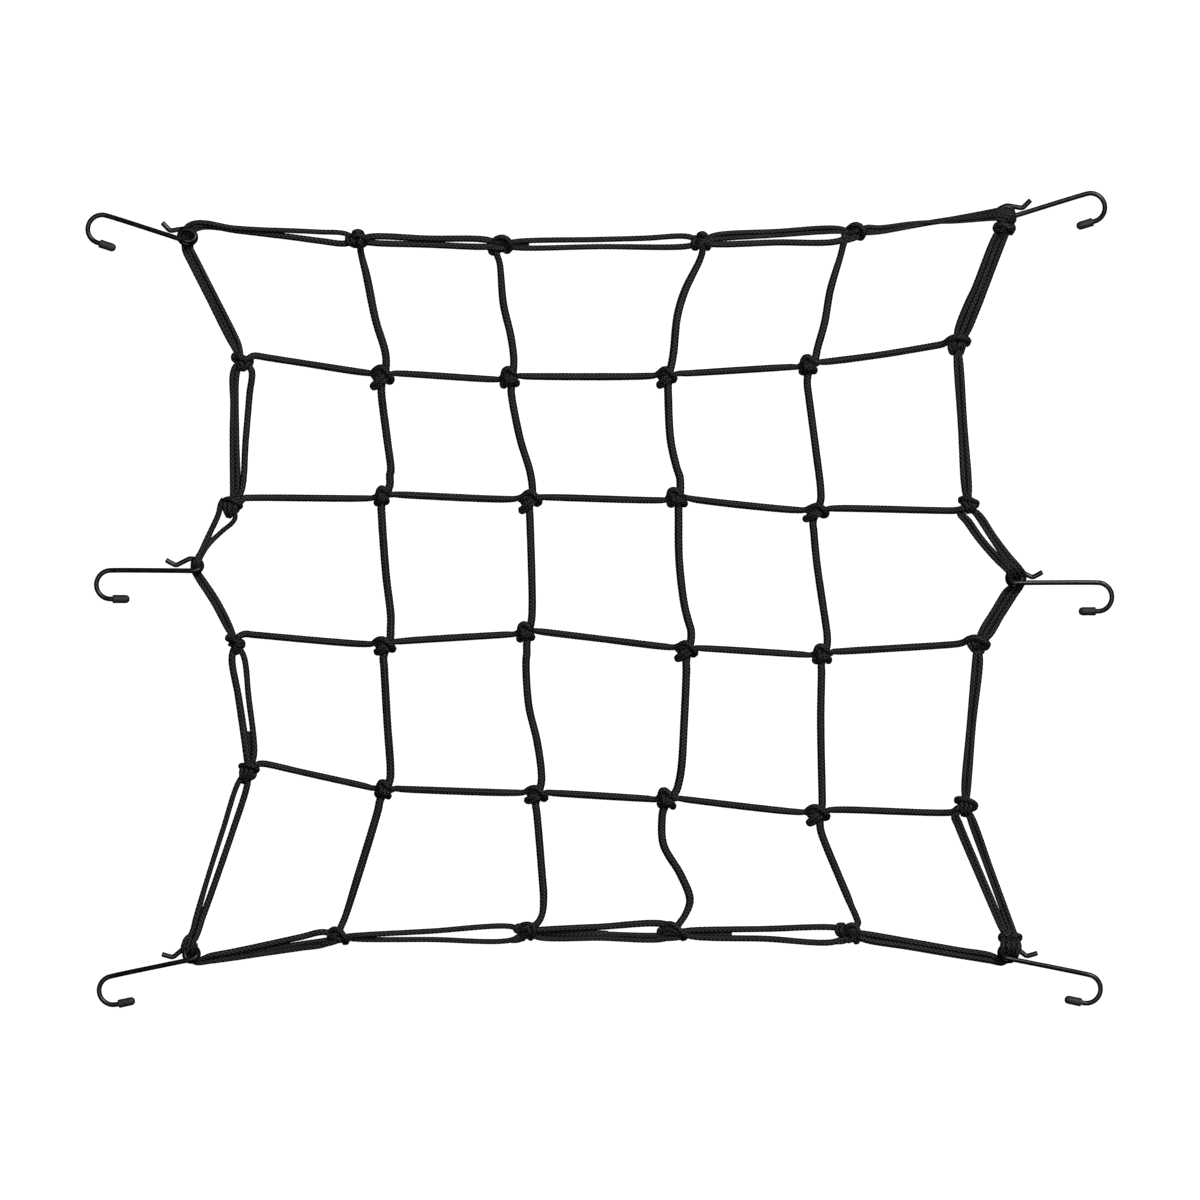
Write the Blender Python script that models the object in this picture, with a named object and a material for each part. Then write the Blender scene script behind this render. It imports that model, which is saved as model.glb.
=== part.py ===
"""Knotted elastic cargo net with six wire hooks, lying flat on the ground.

The tables are in millimetres, seen from above: x to the right, y away from the viewer, z up.
The finished objects are in metres.
"""
import math

import bmesh
import bpy
from mathutils import Matrix, Vector

MM = 0.001
WELD = 0.00001               # metres: points of one tube closer than this are one point
CLEAN = 0.000002             # metres: the same, after strands have been joined
SMOOTH_ANGLE = math.radians(50)

# Net body
CORD_RADIUS_DOWN = 1.80      # relaxed cord of the columns
CORD_RADIUS_ACROSS = 1.55    # cord of the rows, a little stretched
FLOOR_GAP = 0.12             # resting strands stay this far above the knots' flat feet
KNOT_MID = 3.45              # height at which strands end inside a knot
KNOT_OVERLAP = 0.5           # strands end this far from a knot's centre
KNOT_SHOULDER = 3.0          # height of a strand just outside a knot
STRAND_SIDES = 6
NET_TRIANGLES = 11600
WRAP_SIDES = 6

# Knot body: a low truncated cone with a flat foot, under the raised wraps
CORE_SIDES = 6
CORE_FOOT_RADIUS = 4.2
CORE_TOP_RADIUS = 3.4
CORE_HEIGHT = 5.6

# Hook: one bent wire with a coiled eye, a shank, a J bend and a kinked tail
WIRE_RADIUS = 1.22
WIRE_SIDES = 8
EYE_PASSES = (                   # the wire over and under the cord: (across, height)
    (2.9, 9.4),
    (-3.0, 4.6),
    (4.3, 6.3),
    (-3.1, 1.34),
)
EYE_HALF_LENGTHS = (4.15, 4.15, 4.35)   # reach of each half turn along the shank
EYE_STEPS = 6                    # steps of each half turn
SHANK_OFFSET = EYE_PASSES[0][0]
SHANK_BEND = (6.0, SHANK_OFFSET, 8.7)
BEND_START = 42.0                # from the eye's centre to the start of the J bend
BEND_LEAD = 1.2                  # straight wire between the bend and the tip's axis
BEND_RADIUS = 7.15
TIP_OFFSET = SHANK_OFFSET + 2 * BEND_RADIUS
BEND_STEPS = 7
BEND_TOP_HEIGHT = 1.75
BEND_LOW_HEIGHT = 1.45
TIP_HEIGHT = 2.25
WIRE_END = 34.2
TAIL_ROUTE = (                   # along, across, height
    (2.2, -3.2, 1.34),
    (6.2, -1.4, 1.34),
    (9.4, 0.0, 1.36),
    (11.6, -0.9, 1.45),
    (14.5, -2.5, 1.6),
)

# Rubber tip, turned about the wire's end
TIP_MOUTH = 41.0
TIP_LENGTH = 8.6
TIP_RADIUS = 2.12
TIP_LIP = 0.2
TIP_NOSE = 0.35
TIP_ROUND = 1.1
TIP_BORE_RADIUS = 1.6
TIP_BORE_DEPTH = 7.2
TIP_STEPS = 10

# Cord through an eye: two strands pressed together
THROAT_RADIUS = 1.1
THROAT_SPREAD = 0.6
THROAT_JOIN = 0.45           # a border strand ends this share of the way along the first run
THROAT_LEAD = 0.35           # and this far out towards the strand

# Centre of the object's outline in the tables' own coordinates
OUTLINE_CENTRE = (-0.135, 0.555)

# Knots: name -> (x, y, kind, turn in degrees)
KNOTS = {
    "a1": (-108.5, 112.5, "wide", 0),
    "a2": (-45.0, 111.0, "tall", 0),
    "a3": (33.5, 112.0, "wide", 0),
    "a4": (104.0, 116.5, "tall", 0),
    "b1": (-108.5, 52.5, "tall", 0),
    "b2": (-36.5, 50.0, "wide", 0),
    "b3": (38.5, 51.5, "tall", 0),
    "b4": (108.5, 44.0, "wide", 0),
    "c1": (-107.5, -24.0, "wide", 0),
    "c2": (-36.5, -16.5, "tall", 0),
    "c3": (42.5, -25.0, "wide", 0),
    "c4": (111.0, -27.5, "tall", 0),
    "d1": (-107.5, -95.0, "tall", 0),
    "d2": (-32.5, -97.5, "wide", 0),
    "d3": (33.5, -100.0, "tall", 0),
    "d4": (108.5, -107.5, "wide", 0),
    "top1": (-121.0, 180.0, "wide", 20),
    "top2": (-49.0, 177.5, "collar", -80),
    "top3": (50.5, 179.0, "wide", 15),
    "top4": (127.0, 183.5, "collar", -80),
    "low1": (-130.0, -168.5, "collar", -85),
    "low2": (-37.5, -166.0, "wide", 10),
    "low3": (39.0, -166.0, "tall", -40),
    "low4": (125.0, -166.0, "wide", 15),
    "left_a": (-179.0, 119.0, "tall", -20),
    "left_b": (-184.0, 47.0, "collar", -15),
    "left_c": (-182.0, -21.0, "tall", -25),
    "left_d": (-175.5, -85.0, "collar", 15),
    "right_a": (178.5, 128.0, "collar", -20),
    "right_b": (184.0, 47.5, "collar", 10),
    "right_c": (188.5, -22.0, "collar", -20),
    "right_d": (183.0, -103.0, "collar", 15),
    "corner_tr": (202.9, 184.9, "corner", -10),
    "corner_br": (205.0, -168.0, "corner", 5),
    "corner_bl": (-205.1, -168.5, "corner", 30),
}

# Wraps that stand out on each kind of knot: lists of (x, y, z) about the knot's centre
WRAPS = {
    "wide": (
        ((-4.6, 0.6, 2.4), (-2.6, 3.3, 5.0), (1.2, 3.0, 6.8), (4.3, -1.0, 5.8), (3.2, -3.4, 2.4)),
        ((1.2, -0.6, 5.0), (-3.4, -4.3, 5.2), (-2.8, -3.0, 2.1)),
    ),
    "tall": (
        ((-3.4, -1.0, 2.2), (-3.9, 2.4, 4.8), (-0.4, 4.2, 6.6), (3.6, -1.8, 6.0), (2.8, -3.4, 2.3)),
        ((1.0, 0.4, 4.8), (-3.0, -3.6, 4.8), (-2.4, -3.4, 2.0)),
    ),
    "collar": (
        ((-4.2, 0.4, 2.2), (-4.8, 0.3, 4.8), (0.2, 0.7, 7.1), (5.0, -0.5, 4.8), (4.0, -0.8, 2.2)),
    ),
    "corner": (
        ((-3.8, 0.2, 2.1), (-4.4, 0.2, 4.2), (0.2, 0.3, 6.2), (4.4, -0.2, 4.2), (3.8, -0.3, 2.1)),
    ),
}
WRAP_RADIUS = 1.7
CORE_SCALES = {"wide": 1.0, "tall": 1.0, "collar": 1.0, "corner": 0.76}

# Rows and columns between the mesh knots: (from, to, points on the way)
COLUMNS = (
    ("top1", "a1", ((-119.6, 174.0), (-116.8, 162.5), (-112.2, 140.0), (-107.4, 124.0))),
    ("a1", "b1", ((-109.3, 103.5), (-106.4, 80.0), (-104.6, 65.0))),
    ("b1", "c1", ((-109.2, 43.0), (-107.0, 12.5), (-104.6, -8.0))),
    ("c1", "d1", ((-108.0, -33.0), (-106.3, -62.5), (-104.8, -84.0))),
    ("d1", "low1", ((-111.0, -105.0), (-120.8, -137.5), (-127.4, -158.5))),
    ("top2", "a2", ((-50.3, 169.0), (-48.7, 148.0), (-44.7, 132.5), (-43.2, 122.0))),
    ("a2", "b2", ((-44.3, 103.0), (-39.8, 80.0), (-35.2, 65.0), (-33.9, 57.5))),
    ("b2", "c2", ((-35.8, 42.0), (-34.6, 15.0), (-33.9, -4.0))),
    ("c2", "d2", ((-37.0, -31.0), (-35.6, -53.0), (-31.6, -70.0), (-29.4, -85.0))),
    ("d2", "low2", ((-31.6, -106.5), (-29.0, -137.0), (-28.2, -149.0), (-31.2, -159.5))),
    ("top3", "a3", ((49.2, 169.5), (42.6, 155.0), (38.7, 142.0), (36.8, 124.0))),
    ("a3", "b3", ((33.8, 103.0), (35.3, 80.0), (38.9, 65.0))),
    ("b3", "c3", ((39.3, 42.5), (39.6, 20.0), (42.2, -2.5), (44.6, -12.0))),
    ("c3", "d3", ((43.2, -35.0), (42.0, -63.0), (40.3, -86.0))),
    ("d3", "low3", ((31.0, -109.5), (31.8, -122.5), (40.4, -137.5), (45.0, -150.0), (42.0, -159.5))),
    ("top4", "a4", ((120.4, 172.5), (115.0, 155.0), (112.2, 139.0), (108.0, 125.5))),
    ("a4", "b4", ((104.2, 103.5), (108.3, 72.5), (110.4, 55.0))),
    ("b4", "c4", ((106.9, 34.5), (108.5, 18.0), (113.2, -14.0))),
    ("c4", "d4", ((110.8, -36.0), (110.4, -60.0), (111.0, -93.0))),
    ("d4", "low4", ((110.6, -116.0), (119.7, -137.5), (127.6, -157.5))),
)
ROWS = (
    ("left_a", "a1", ((-172.0, 122.3), (-150.0, 118.7), (-118.0, 113.8))),
    ("a1", "a2", ((-99.0, 113.2), (-54.0, 110.4))),
    ("a2", "a3", ((-37.0, 111.9), (24.0, 112.0))),
    ("a3", "a4", ((44.0, 113.4), (95.0, 116.5))),
    ("a4", "right_a", ((113.5, 119.2), (140.0, 122.6), (170.0, 127.2))),
    ("left_b", "b1", ((-174.0, 50.4), (-118.0, 51.0))),
    ("b1", "b2", ((-99.0, 52.6), (-47.0, 50.4))),
    ("b2", "b3", ((-27.5, 51.4), (29.0, 49.9))),
    ("b3", "b4", ((48.0, 50.2), (98.0, 45.0))),
    ("b4", "right_b", ((118.5, 45.8), (175.0, 44.9))),
    ("left_c", "c1", ((-172.5, -18.2), (-118.0, -22.0))),
    ("c1", "c2", ((-99.0, -20.6), (-47.0, -17.3))),
    ("c2", "c3", ((-28.0, -16.0), (0.0, -19.4), (32.0, -23.3))),
    ("c3", "c4", ((52.0, -24.2), (100.5, -27.2))),
    ("c4", "right_c", ((120.5, -25.7), (178.0, -22.8))),
    ("left_d", "d1", ((-170.0, -82.0), (-150.0, -85.9), (-118.0, -93.0))),
    ("d1", "d2", ((-98.0, -94.6), (-43.0, -96.4))),
    ("d2", "d3", ((-22.5, -96.6), (23.5, -99.4))),
    ("d3", "d4", ((43.5, -99.8), (98.5, -106.0))),
    ("d4", "right_d", ((118.5, -104.9), (173.0, -106.0))),
)

# Taut strands of the border cord: (from, to, first point, last point, radius)
BORDER = (
    ("hook_tl>", "top1", (-196.0, 188.6, 6.6), (-127.5, 183.4, 4.4), 1.15),
    ("hook_tl>", "top1", (-196.0, 187.4, 3.2), (-128.0, 178.3, 3.2), 1.45),
    ("top1", "top2", (-114.0, 182.3, 3.6), (-57.0, 180.1, 3.6), 1.55),
    ("top1", "top2", (-114.0, 178.4, 3.2), (-57.0, 176.2, 3.2), 1.55),
    ("top2", "top3", (-42.0, 179.2, 3.4), (44.0, 181.7, 3.4), 1.25),
    ("top2", "top3", (-42.0, 176.1, 3.4), (44.0, 176.9, 3.4), 1.3),
    ("top3", "top4", (57.0, 181.3, 3.6), (119.0, 185.2, 3.8), 1.9),
    ("top3", "top4", (57.0, 177.3, 3.2), (119.0, 179.4, 3.2), 1.4),
    ("top4", "hook_tr>", (134.0, 185.8, 5.6), (190.0, 190.8, 7.6), 1.3),
    ("top4", "hook_tr>", (134.0, 183.2, 2.6), (190.0, 193.2, 4.6), 1.3),
    ("hook_tl<", "left_a", (-208.2, 172.8, 2.4), (-183.2, 125.0, 3.2), 0.95),
    ("hook_tl<", "left_a", (-206.2, 173.9, 2.4), (-181.2, 126.1, 3.2), 0.95),
    ("hook_tl<", "left_a", (-204.2, 175.0, 2.4), (-179.2, 127.2, 3.2), 0.95),
    ("left_a", "left_b", (-183.2, 111.5, 3.2), (-183.0, 54.0, 3.2), 1.9),
    ("left_a", "left_b", (-174.8, 112.5, 3.2), (-178.9, 54.0, 3.2), 1.4),
    ("left_b", "hook_lm>", (-188.3, 43.0, 4.6), (-198.8, 26.5, 8.0), 1.3),
    ("left_b", "hook_lm>", (-184.0, 41.0, 2.6), (-199.8, 24.6, 4.8), 1.4),
    ("hook_lm<", "left_c", (-201.6, 10.0, 2.2), (-186.4, -14.6, 3.0), 0.9),
    ("hook_lm<", "left_c", (-199.8, 11.1, 2.2), (-184.6, -13.5, 3.0), 0.9),
    ("left_c", "left_d", (-184.2, -28.5, 3.2), (-176.4, -77.5, 3.2), 1.5),
    ("left_c", "left_d", (-178.0, -28.5, 3.2), (-172.9, -77.5, 3.2), 1.35),
    ("left_d", "corner_bl", (-180.6, -90.5, 3.2), (-202.6, -160.0, 3.6), 1.15),
    ("left_d", "corner_bl", (-175.6, -92.5, 3.2), (-199.6, -160.5, 3.6), 1.35),
    ("hook_bl<", "low1", (-195.0, -177.4, 4.6), (-137.0, -165.6, 3.6), 1.4),
    ("hook_bl<", "low1", (-195.0, -180.6, 2.4), (-136.0, -171.4, 3.2), 1.9),
    ("low1", "low2", (-122.0, -167.8, 5.4), (-44.5, -163.2, 3.6), 1.3),
    ("low1", "low2", (-122.0, -169.4, 2.4), (-44.5, -170.0, 3.0), 1.25),
    ("low2", "low3", (-30.5, -164.9, 4.6), (32.0, -162.0, 3.8), 1.45),
    ("low2", "low3", (-30.5, -168.6, 2.4), (32.0, -168.9, 3.2), 1.85),
    ("low3", "low4", (46.5, -165.1, 3.4), (118.0, -163.8, 3.4), 1.4),
    ("low3", "low4", (46.5, -168.3, 3.4), (118.0, -170.7, 3.4), 1.4),
    ("low4", "hook_br<", (132.0, -166.6, 3.2), (195.0, -176.9, 3.0), 1.3),
    ("low4", "hook_br<", (132.0, -169.7, 3.2), (195.0, -180.0, 3.0), 1.3),
    ("corner_tr", "right_a", (196.7, 181.0, 3.2), (178.7, 134.8, 3.6), 1.2),
    ("corner_tr", "right_a", (199.3, 180.0, 3.2), (181.3, 133.8, 3.6), 1.2),
    ("corner_tr", "right_a", (201.9, 179.0, 3.2), (183.9, 132.8, 3.6), 1.2),
    ("right_a", "right_b", (177.8, 121.0, 3.2), (182.3, 55.0, 3.6), 1.05),
    ("right_a", "right_b", (180.3, 121.0, 3.2), (184.8, 55.0, 3.6), 1.05),
    ("right_b", "hook_rm>", (181.3, 40.2, 3.2), (198.8, 20.2, 6.2), 1.7),
    ("right_b", "hook_rm>", (190.2, 41.4, 3.2), (204.4, 20.6, 6.2), 1.7),
    ("hook_rm<", "right_c", (203.0, 4.9, 2.4), (190.5, -15.4, 3.6), 1.1),
    ("hook_rm<", "right_c", (205.1, 3.6, 2.4), (192.6, -16.7, 3.6), 1.1),
    ("hook_rm<", "right_c", (207.2, 2.3, 2.4), (194.7, -18.0, 3.6), 1.1),
    ("right_c", "right_d", (187.6, -29.0, 3.2), (181.9, -95.5, 3.6), 1.1),
    ("right_c", "right_d", (190.1, -29.0, 3.2), (184.4, -95.5, 3.6), 1.1),
    ("right_d", "corner_br", (178.3, -110.5, 3.2), (200.0, -161.5, 3.6), 1.65),
    ("right_d", "corner_br", (185.8, -110.0, 3.2), (203.9, -160.0, 3.6), 1.65),
)

# Hooks: name -> (eye x, eye y, heading in degrees, side of the bend, cord path)
HOOKS = {
    "tl": (-206.0, 182.0, 161.2, 1, "through"),
    "tr": (202.5, 193.5, 17.7, -1, "over"),
    "lm": (-202.5, 17.5, 179.4, 1, "through"),
    "rm": (206.75, 11.5, 0.7, -1, "through"),
    "bl": (-204.4, -176.5, 192.0, 1, "back"),
    "br": (204.4, -176.0, -11.6, -1, "back"),
}

# Cord paths through an eye: (along the shank, across it, height)
THROATS = {
    "through": ((0.0, -6.6, 7.2), (0.0, -3.6, 8.0), (0.0, -0.4, 5.9), (0.0, 3.2, 3.2), (0.0, 6.6, 2.3)),
    "over": ((-7.6, -1.2, 8.2), (-4.2, -1.2, 9.7), (-0.8, -0.6, 8.2), (0.0, 1.2, 5.2), (-0.8, 4.2, 3.1),
             (-2.1, 8.0, 3.2)),
    "back": ((-0.7, -7.7, 4.4), (-0.2, -6.0, 7.0), (0.0, -3.6, 8.0), (-0.2, -0.4, 5.9), (-1.0, 3.0, 3.3),
             (-4.2, 5.0, 2.6), (-7.6, 5.4, 2.6)),
}


def clear_scene():
    for item in list(bpy.data.objects):
        bpy.data.objects.remove(item, do_unlink=True)


def make_collection(name):
    group = bpy.data.collections.new(name)
    bpy.context.scene.collection.children.link(group)
    return group


def make_material(name, colour, roughness):
    material = bpy.data.materials.new(name)
    material.use_nodes = True
    shader = material.node_tree.nodes["Principled BSDF"]
    shader.inputs["Base Color"].default_value = (*colour, 1.0)
    shader.inputs["Roughness"].default_value = roughness
    shader.inputs["Metallic"].default_value = 0.0
    return material


def finish(solid, material):
    """One material, and smooth shading except at real edges."""
    solid.data.materials.clear()
    solid.data.materials.append(material)
    solid.data.shade_smooth()
    solid.data.set_sharp_from_angle(angle=SMOOTH_ANGLE)


def tube(name, points, radius, sides, group):
    """A closed round tube along the points, as a mesh object."""
    curve = bpy.data.curves.new(name, "CURVE")
    curve.dimensions = "3D"
    curve.bevel_depth = radius * MM
    curve.bevel_resolution = (sides - 4) // 2
    curve.use_fill_caps = True
    spline = curve.splines.new("POLY")
    spline.points.add(len(points) - 1)
    for spot, point in zip(spline.points, points):
        spot.co = (point[0] * MM, point[1] * MM, point[2] * MM, 1.0)
    source = bpy.data.objects.new(name + "_curve", curve)
    group.objects.link(source)
    shape = bpy.context.evaluated_depsgraph_get()
    mesh = bpy.data.meshes.new_from_object(source.evaluated_get(shape))
    bpy.data.objects.remove(source, do_unlink=True)
    work = bmesh.new()
    work.from_mesh(mesh)
    bmesh.ops.remove_doubles(work, verts=work.verts, dist=WELD)
    bmesh.ops.recalc_face_normals(work, faces=work.faces)
    work.to_mesh(mesh)
    work.free()
    mesh.name = name
    solid = bpy.data.objects.new(name, mesh)
    group.objects.link(solid)
    return solid


def knot_core(name, x, y, kind, turn, group):
    mesh = bpy.data.meshes.new(name)
    scale = CORE_SCALES[kind] * MM
    work = bmesh.new()
    bmesh.ops.create_cone(
        work, cap_ends=True, segments=CORE_SIDES, radius1=CORE_FOOT_RADIUS * scale,
        radius2=CORE_TOP_RADIUS * scale, depth=CORE_HEIGHT * MM)
    bmesh.ops.rotate(work, verts=work.verts, matrix=rotation(turn).to_3x3())
    bmesh.ops.translate(work, verts=work.verts, vec=Vector((x, y, CORE_HEIGHT / 2)) * MM)
    work.to_mesh(mesh)
    work.free()
    solid = bpy.data.objects.new(name, mesh)
    group.objects.link(solid)
    return solid


def rotation(degrees):
    return Matrix.Rotation(math.radians(degrees), 4, "Z")


def knot(name, group):
    """The core of one knot and the raised wraps of its kind."""
    x, y, kind, turn = KNOTS[name]
    solids = [knot_core("core_" + name, x, y, kind, turn, group)]
    spin = rotation(turn)
    for number, wrap in enumerate(WRAPS[kind]):
        points = [spin @ Vector(point) + Vector((x, y, 0)) for point in wrap]
        solids.append(tube(f"wrap_{name}_{number}", points, WRAP_RADIUS, WRAP_SIDES, group))
    return solids


def inside_knot(name, towards):
    """A point inside a knot, on the side that a strand comes from."""
    x, y, _, _ = KNOTS[name]
    centre = Vector((x, y, KNOT_MID))
    way = Vector((towards[0] - x, towards[1] - y, 0))
    return centre + way.normalized() * KNOT_OVERLAP


def eye_point(hook, along, across, height):
    """World place of a point given in one hook's own directions."""
    x, y, heading, side, _ = HOOKS[hook]
    angle = math.radians(heading)
    forward = Vector((math.cos(angle), math.sin(angle), 0))
    sideways = Vector((-forward.y, forward.x, 0)) * side
    return Vector((x, y, height)) + forward * along + sideways * across


def inside_throat(name, towards):
    """A point in the cord of an eye, near its way in (>) or its way out (<)."""
    hook = name.strip("<>").removeprefix("hook_")
    route = [eye_point(hook, *point) for point in THROATS[HOOKS[hook][4]]]
    if name.endswith("<"):
        route.reverse()
    way = Vector(towards) - route[0]
    return route[0].lerp(route[1], THROAT_JOIN) + way.normalized() * THROAT_LEAD


def strand_end(name, towards):
    if name.startswith("hook_"):
        return inside_throat(name, towards)
    return inside_knot(name, towards)


def mesh_strand(name, start, end, places, radius, group):
    """A slack strand: up in the knots at its ends, down on the ground between."""
    rest = radius + FLOOR_GAP
    points = [Vector((x, y, rest)) for x, y in places]
    points[0].z = points[-1].z = KNOT_SHOULDER
    route = [strand_end(start, places[0]), *points, strand_end(end, places[-1])]
    return tube(name, route, radius, STRAND_SIDES, group)


def clean_mesh(mesh):
    """Triangles only, with no loose, doubled or zero-length edges."""
    work = bmesh.new()
    work.from_mesh(mesh)
    bmesh.ops.triangulate(work, faces=work.faces[:])
    bmesh.ops.remove_doubles(work, verts=work.verts, dist=CLEAN)
    bmesh.ops.dissolve_degenerate(work, edges=work.edges, dist=CLEAN)
    loose = [edge for edge in work.edges if not edge.link_faces]
    bmesh.ops.delete(work, geom=loose, context="EDGES")
    lost = [vert for vert in work.verts if not vert.link_faces]
    bmesh.ops.delete(work, geom=lost, context="VERTS")
    bmesh.ops.triangulate(work, faces=work.faces[:])
    bmesh.ops.recalc_face_normals(work, faces=work.faces)
    work.to_mesh(mesh)
    work.free()


def fuse(name, solids, group):
    """One closed body from overlapping solids."""
    base, others = solids[0], solids[1:]
    pieces = bpy.data.collections.new(name + "_pieces")
    for other in others:
        pieces.objects.link(other)
    union = base.modifiers.new("fuse", "BOOLEAN")
    union.operation = "UNION"
    union.solver = "EXACT"
    union.use_self = True
    union.operand_type = "COLLECTION"
    union.collection = pieces
    shape = bpy.context.evaluated_depsgraph_get()
    mesh = bpy.data.meshes.new_from_object(base.evaluated_get(shape))
    mesh.name = name
    clean_mesh(mesh)
    for solid in solids:
        bpy.data.objects.remove(solid, do_unlink=True)
    bpy.data.collections.remove(pieces)
    body = bpy.data.objects.new(name, mesh)
    group.objects.link(body)
    return body


def thin_out(body, triangles):
    """Collapse the smallest edges until the body has about this many triangles."""
    body.data.calc_loop_triangles()
    collapse = body.modifiers.new("thin_out", "DECIMATE")
    collapse.ratio = triangles / len(body.data.loop_triangles)
    shape = bpy.context.evaluated_depsgraph_get()
    mesh = bpy.data.meshes.new_from_object(body.evaluated_get(shape))
    full = body.data
    body.modifiers.clear()
    body.data = mesh
    bpy.data.meshes.remove(full)
    mesh.name = body.name
    clean_mesh(mesh)


def build_net(group, material):
    solids = []
    for name in KNOTS:
        solids += knot(name, group)
    for number, (start, end, places) in enumerate(COLUMNS):
        solids.append(mesh_strand(f"down_{number}", start, end, places, CORD_RADIUS_DOWN, group))
    for number, (start, end, places) in enumerate(ROWS):
        solids.append(mesh_strand(f"across_{number}", start, end, places, CORD_RADIUS_ACROSS, group))
    for number, (start, end, first, last, radius) in enumerate(BORDER):
        route = [strand_end(start, first), first, last, strand_end(end, last)]
        solids.append(tube(f"border_{number}", route, radius, STRAND_SIDES, group))
    for hook, place in HOOKS.items():
        for spread in (-THROAT_SPREAD, THROAT_SPREAD):
            route = [eye_point(hook, along + spread, across, height)
                     for along, across, height in THROATS[place[4]]]
            solids.append(tube(f"throat_{hook}", route, THROAT_RADIUS, STRAND_SIDES, group))
    net = fuse("net", solids, group)
    thin_out(net, NET_TRIANGLES)
    finish(net, material)
    return net


def hook_route():
    """The wire's centre line, from the rubber tip to the end of the tail, in eye directions."""
    route = [(WIRE_END, TIP_OFFSET, TIP_HEIGHT), (BEND_START - BEND_LEAD, TIP_OFFSET, TIP_HEIGHT)]
    for step in range(BEND_STEPS + 1):
        share = step / BEND_STEPS
        angle = math.pi / 2 - math.pi * share
        dip = math.sin(math.pi * share)
        height = TIP_HEIGHT + (BEND_TOP_HEIGHT - TIP_HEIGHT) * share
        route.append((BEND_START + BEND_RADIUS * math.cos(angle),
                      SHANK_OFFSET + BEND_RADIUS * (1 + math.sin(angle)),
                      height + (BEND_LOW_HEIGHT - BEND_TOP_HEIGHT) * dip))
    route.append(SHANK_BEND)
    route.append((0.0, *EYE_PASSES[0]))
    outward = -1
    for reach, here, there in zip(EYE_HALF_LENGTHS, EYE_PASSES, EYE_PASSES[1:]):
        for step in range(1, EYE_STEPS + 1):
            angle = math.pi * step / EYE_STEPS
            blend = (1 - math.cos(angle)) / 2
            route.append((outward * reach * math.sin(angle),
                          here[0] + (there[0] - here[0]) * blend,
                          here[1] + (there[1] - here[1]) * blend))
        outward = -outward
    route += TAIL_ROUTE
    return route


def build_hook(hook, group, material):
    route = [eye_point(hook, *point) for point in hook_route()]
    wire = tube("hook_" + hook, route, WIRE_RADIUS, WIRE_SIDES, group)
    finish(wire, material)
    return wire


def build_tip(hook, group, material):
    """A turned rubber cap with a blind bore, slipped over the end of the wire."""
    profile = (
        (TIP_BORE_RADIUS, 0.0),
        (TIP_RADIUS - TIP_LIP, 0.0),
        (TIP_RADIUS, TIP_LIP),
        (TIP_RADIUS, TIP_LENGTH - TIP_ROUND),
        (TIP_RADIUS - TIP_NOSE, TIP_LENGTH - TIP_NOSE),
        (TIP_RADIUS - TIP_ROUND, TIP_LENGTH),
    )
    mesh = bpy.data.meshes.new("tip_" + hook)
    work = bmesh.new()
    axis_end = work.verts.new((0, 0, TIP_LENGTH * MM))
    outer = [work.verts.new((radius * MM, 0, depth * MM)) for radius, depth in profile]
    bore_end = work.verts.new((TIP_BORE_RADIUS * MM, 0, TIP_BORE_DEPTH * MM))
    bore_axis = work.verts.new((0, 0, TIP_BORE_DEPTH * MM))
    chain = [bore_axis, bore_end, *outer, axis_end]
    edges = [work.edges.new(pair) for pair in zip(chain, chain[1:])]
    bmesh.ops.spin(work, geom=edges, cent=(0, 0, 0), axis=(0, 0, 1), angle=2 * math.pi,
                   steps=TIP_STEPS, use_merge=True)
    bmesh.ops.remove_doubles(work, verts=work.verts, dist=WELD)
    bmesh.ops.recalc_face_normals(work, faces=work.faces)
    work.to_mesh(mesh)
    work.free()
    tip = bpy.data.objects.new("tip_" + hook, mesh)
    group.objects.link(tip)
    mouth = eye_point(hook, TIP_MOUTH, TIP_OFFSET, TIP_HEIGHT)
    beyond = eye_point(hook, TIP_MOUTH - TIP_LENGTH, TIP_OFFSET, TIP_HEIGHT)
    tip.location = mouth * MM
    tip.rotation_mode = "QUATERNION"
    tip.rotation_quaternion = (beyond - mouth).to_track_quat("Z", "Y")
    finish(tip, material)
    return tip


def main():
    clear_scene()
    group = make_collection("cargo_net")
    cord = make_material("black_elastic_cord", (0.012, 0.012, 0.013), 0.8)
    coated_wire = make_material("black_coated_wire", (0.008, 0.008, 0.009), 0.25)
    rubber = make_material("black_rubber", (0.01, 0.01, 0.01), 0.6)

    origin = bpy.data.objects.new("cargo_net_origin", None)
    group.objects.link(origin)
    solids = [build_net(group, cord)]
    for hook in HOOKS:
        solids.append(build_hook(hook, group, coated_wire))
        solids.append(build_tip(hook, group, rubber))
    for solid in solids:
        solid.parent = origin
    origin.location = (-OUTLINE_CENTRE[0] * MM, -OUTLINE_CENTRE[1] * MM, 0)


main()
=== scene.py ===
"""Looks of the knotted cargo net: braided cords, glossy hook wires and rubber caps, in soft studio light.

Seen from above, x is to the right, y away from the viewer and z up. Named values are in millimetres, and the
tables of knots and cords in tenths of a millimetre. Points and outlines of a knot are measured from its
centre. A fourth number at a point of a cord is the cord's radius there.
"""
import math

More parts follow.
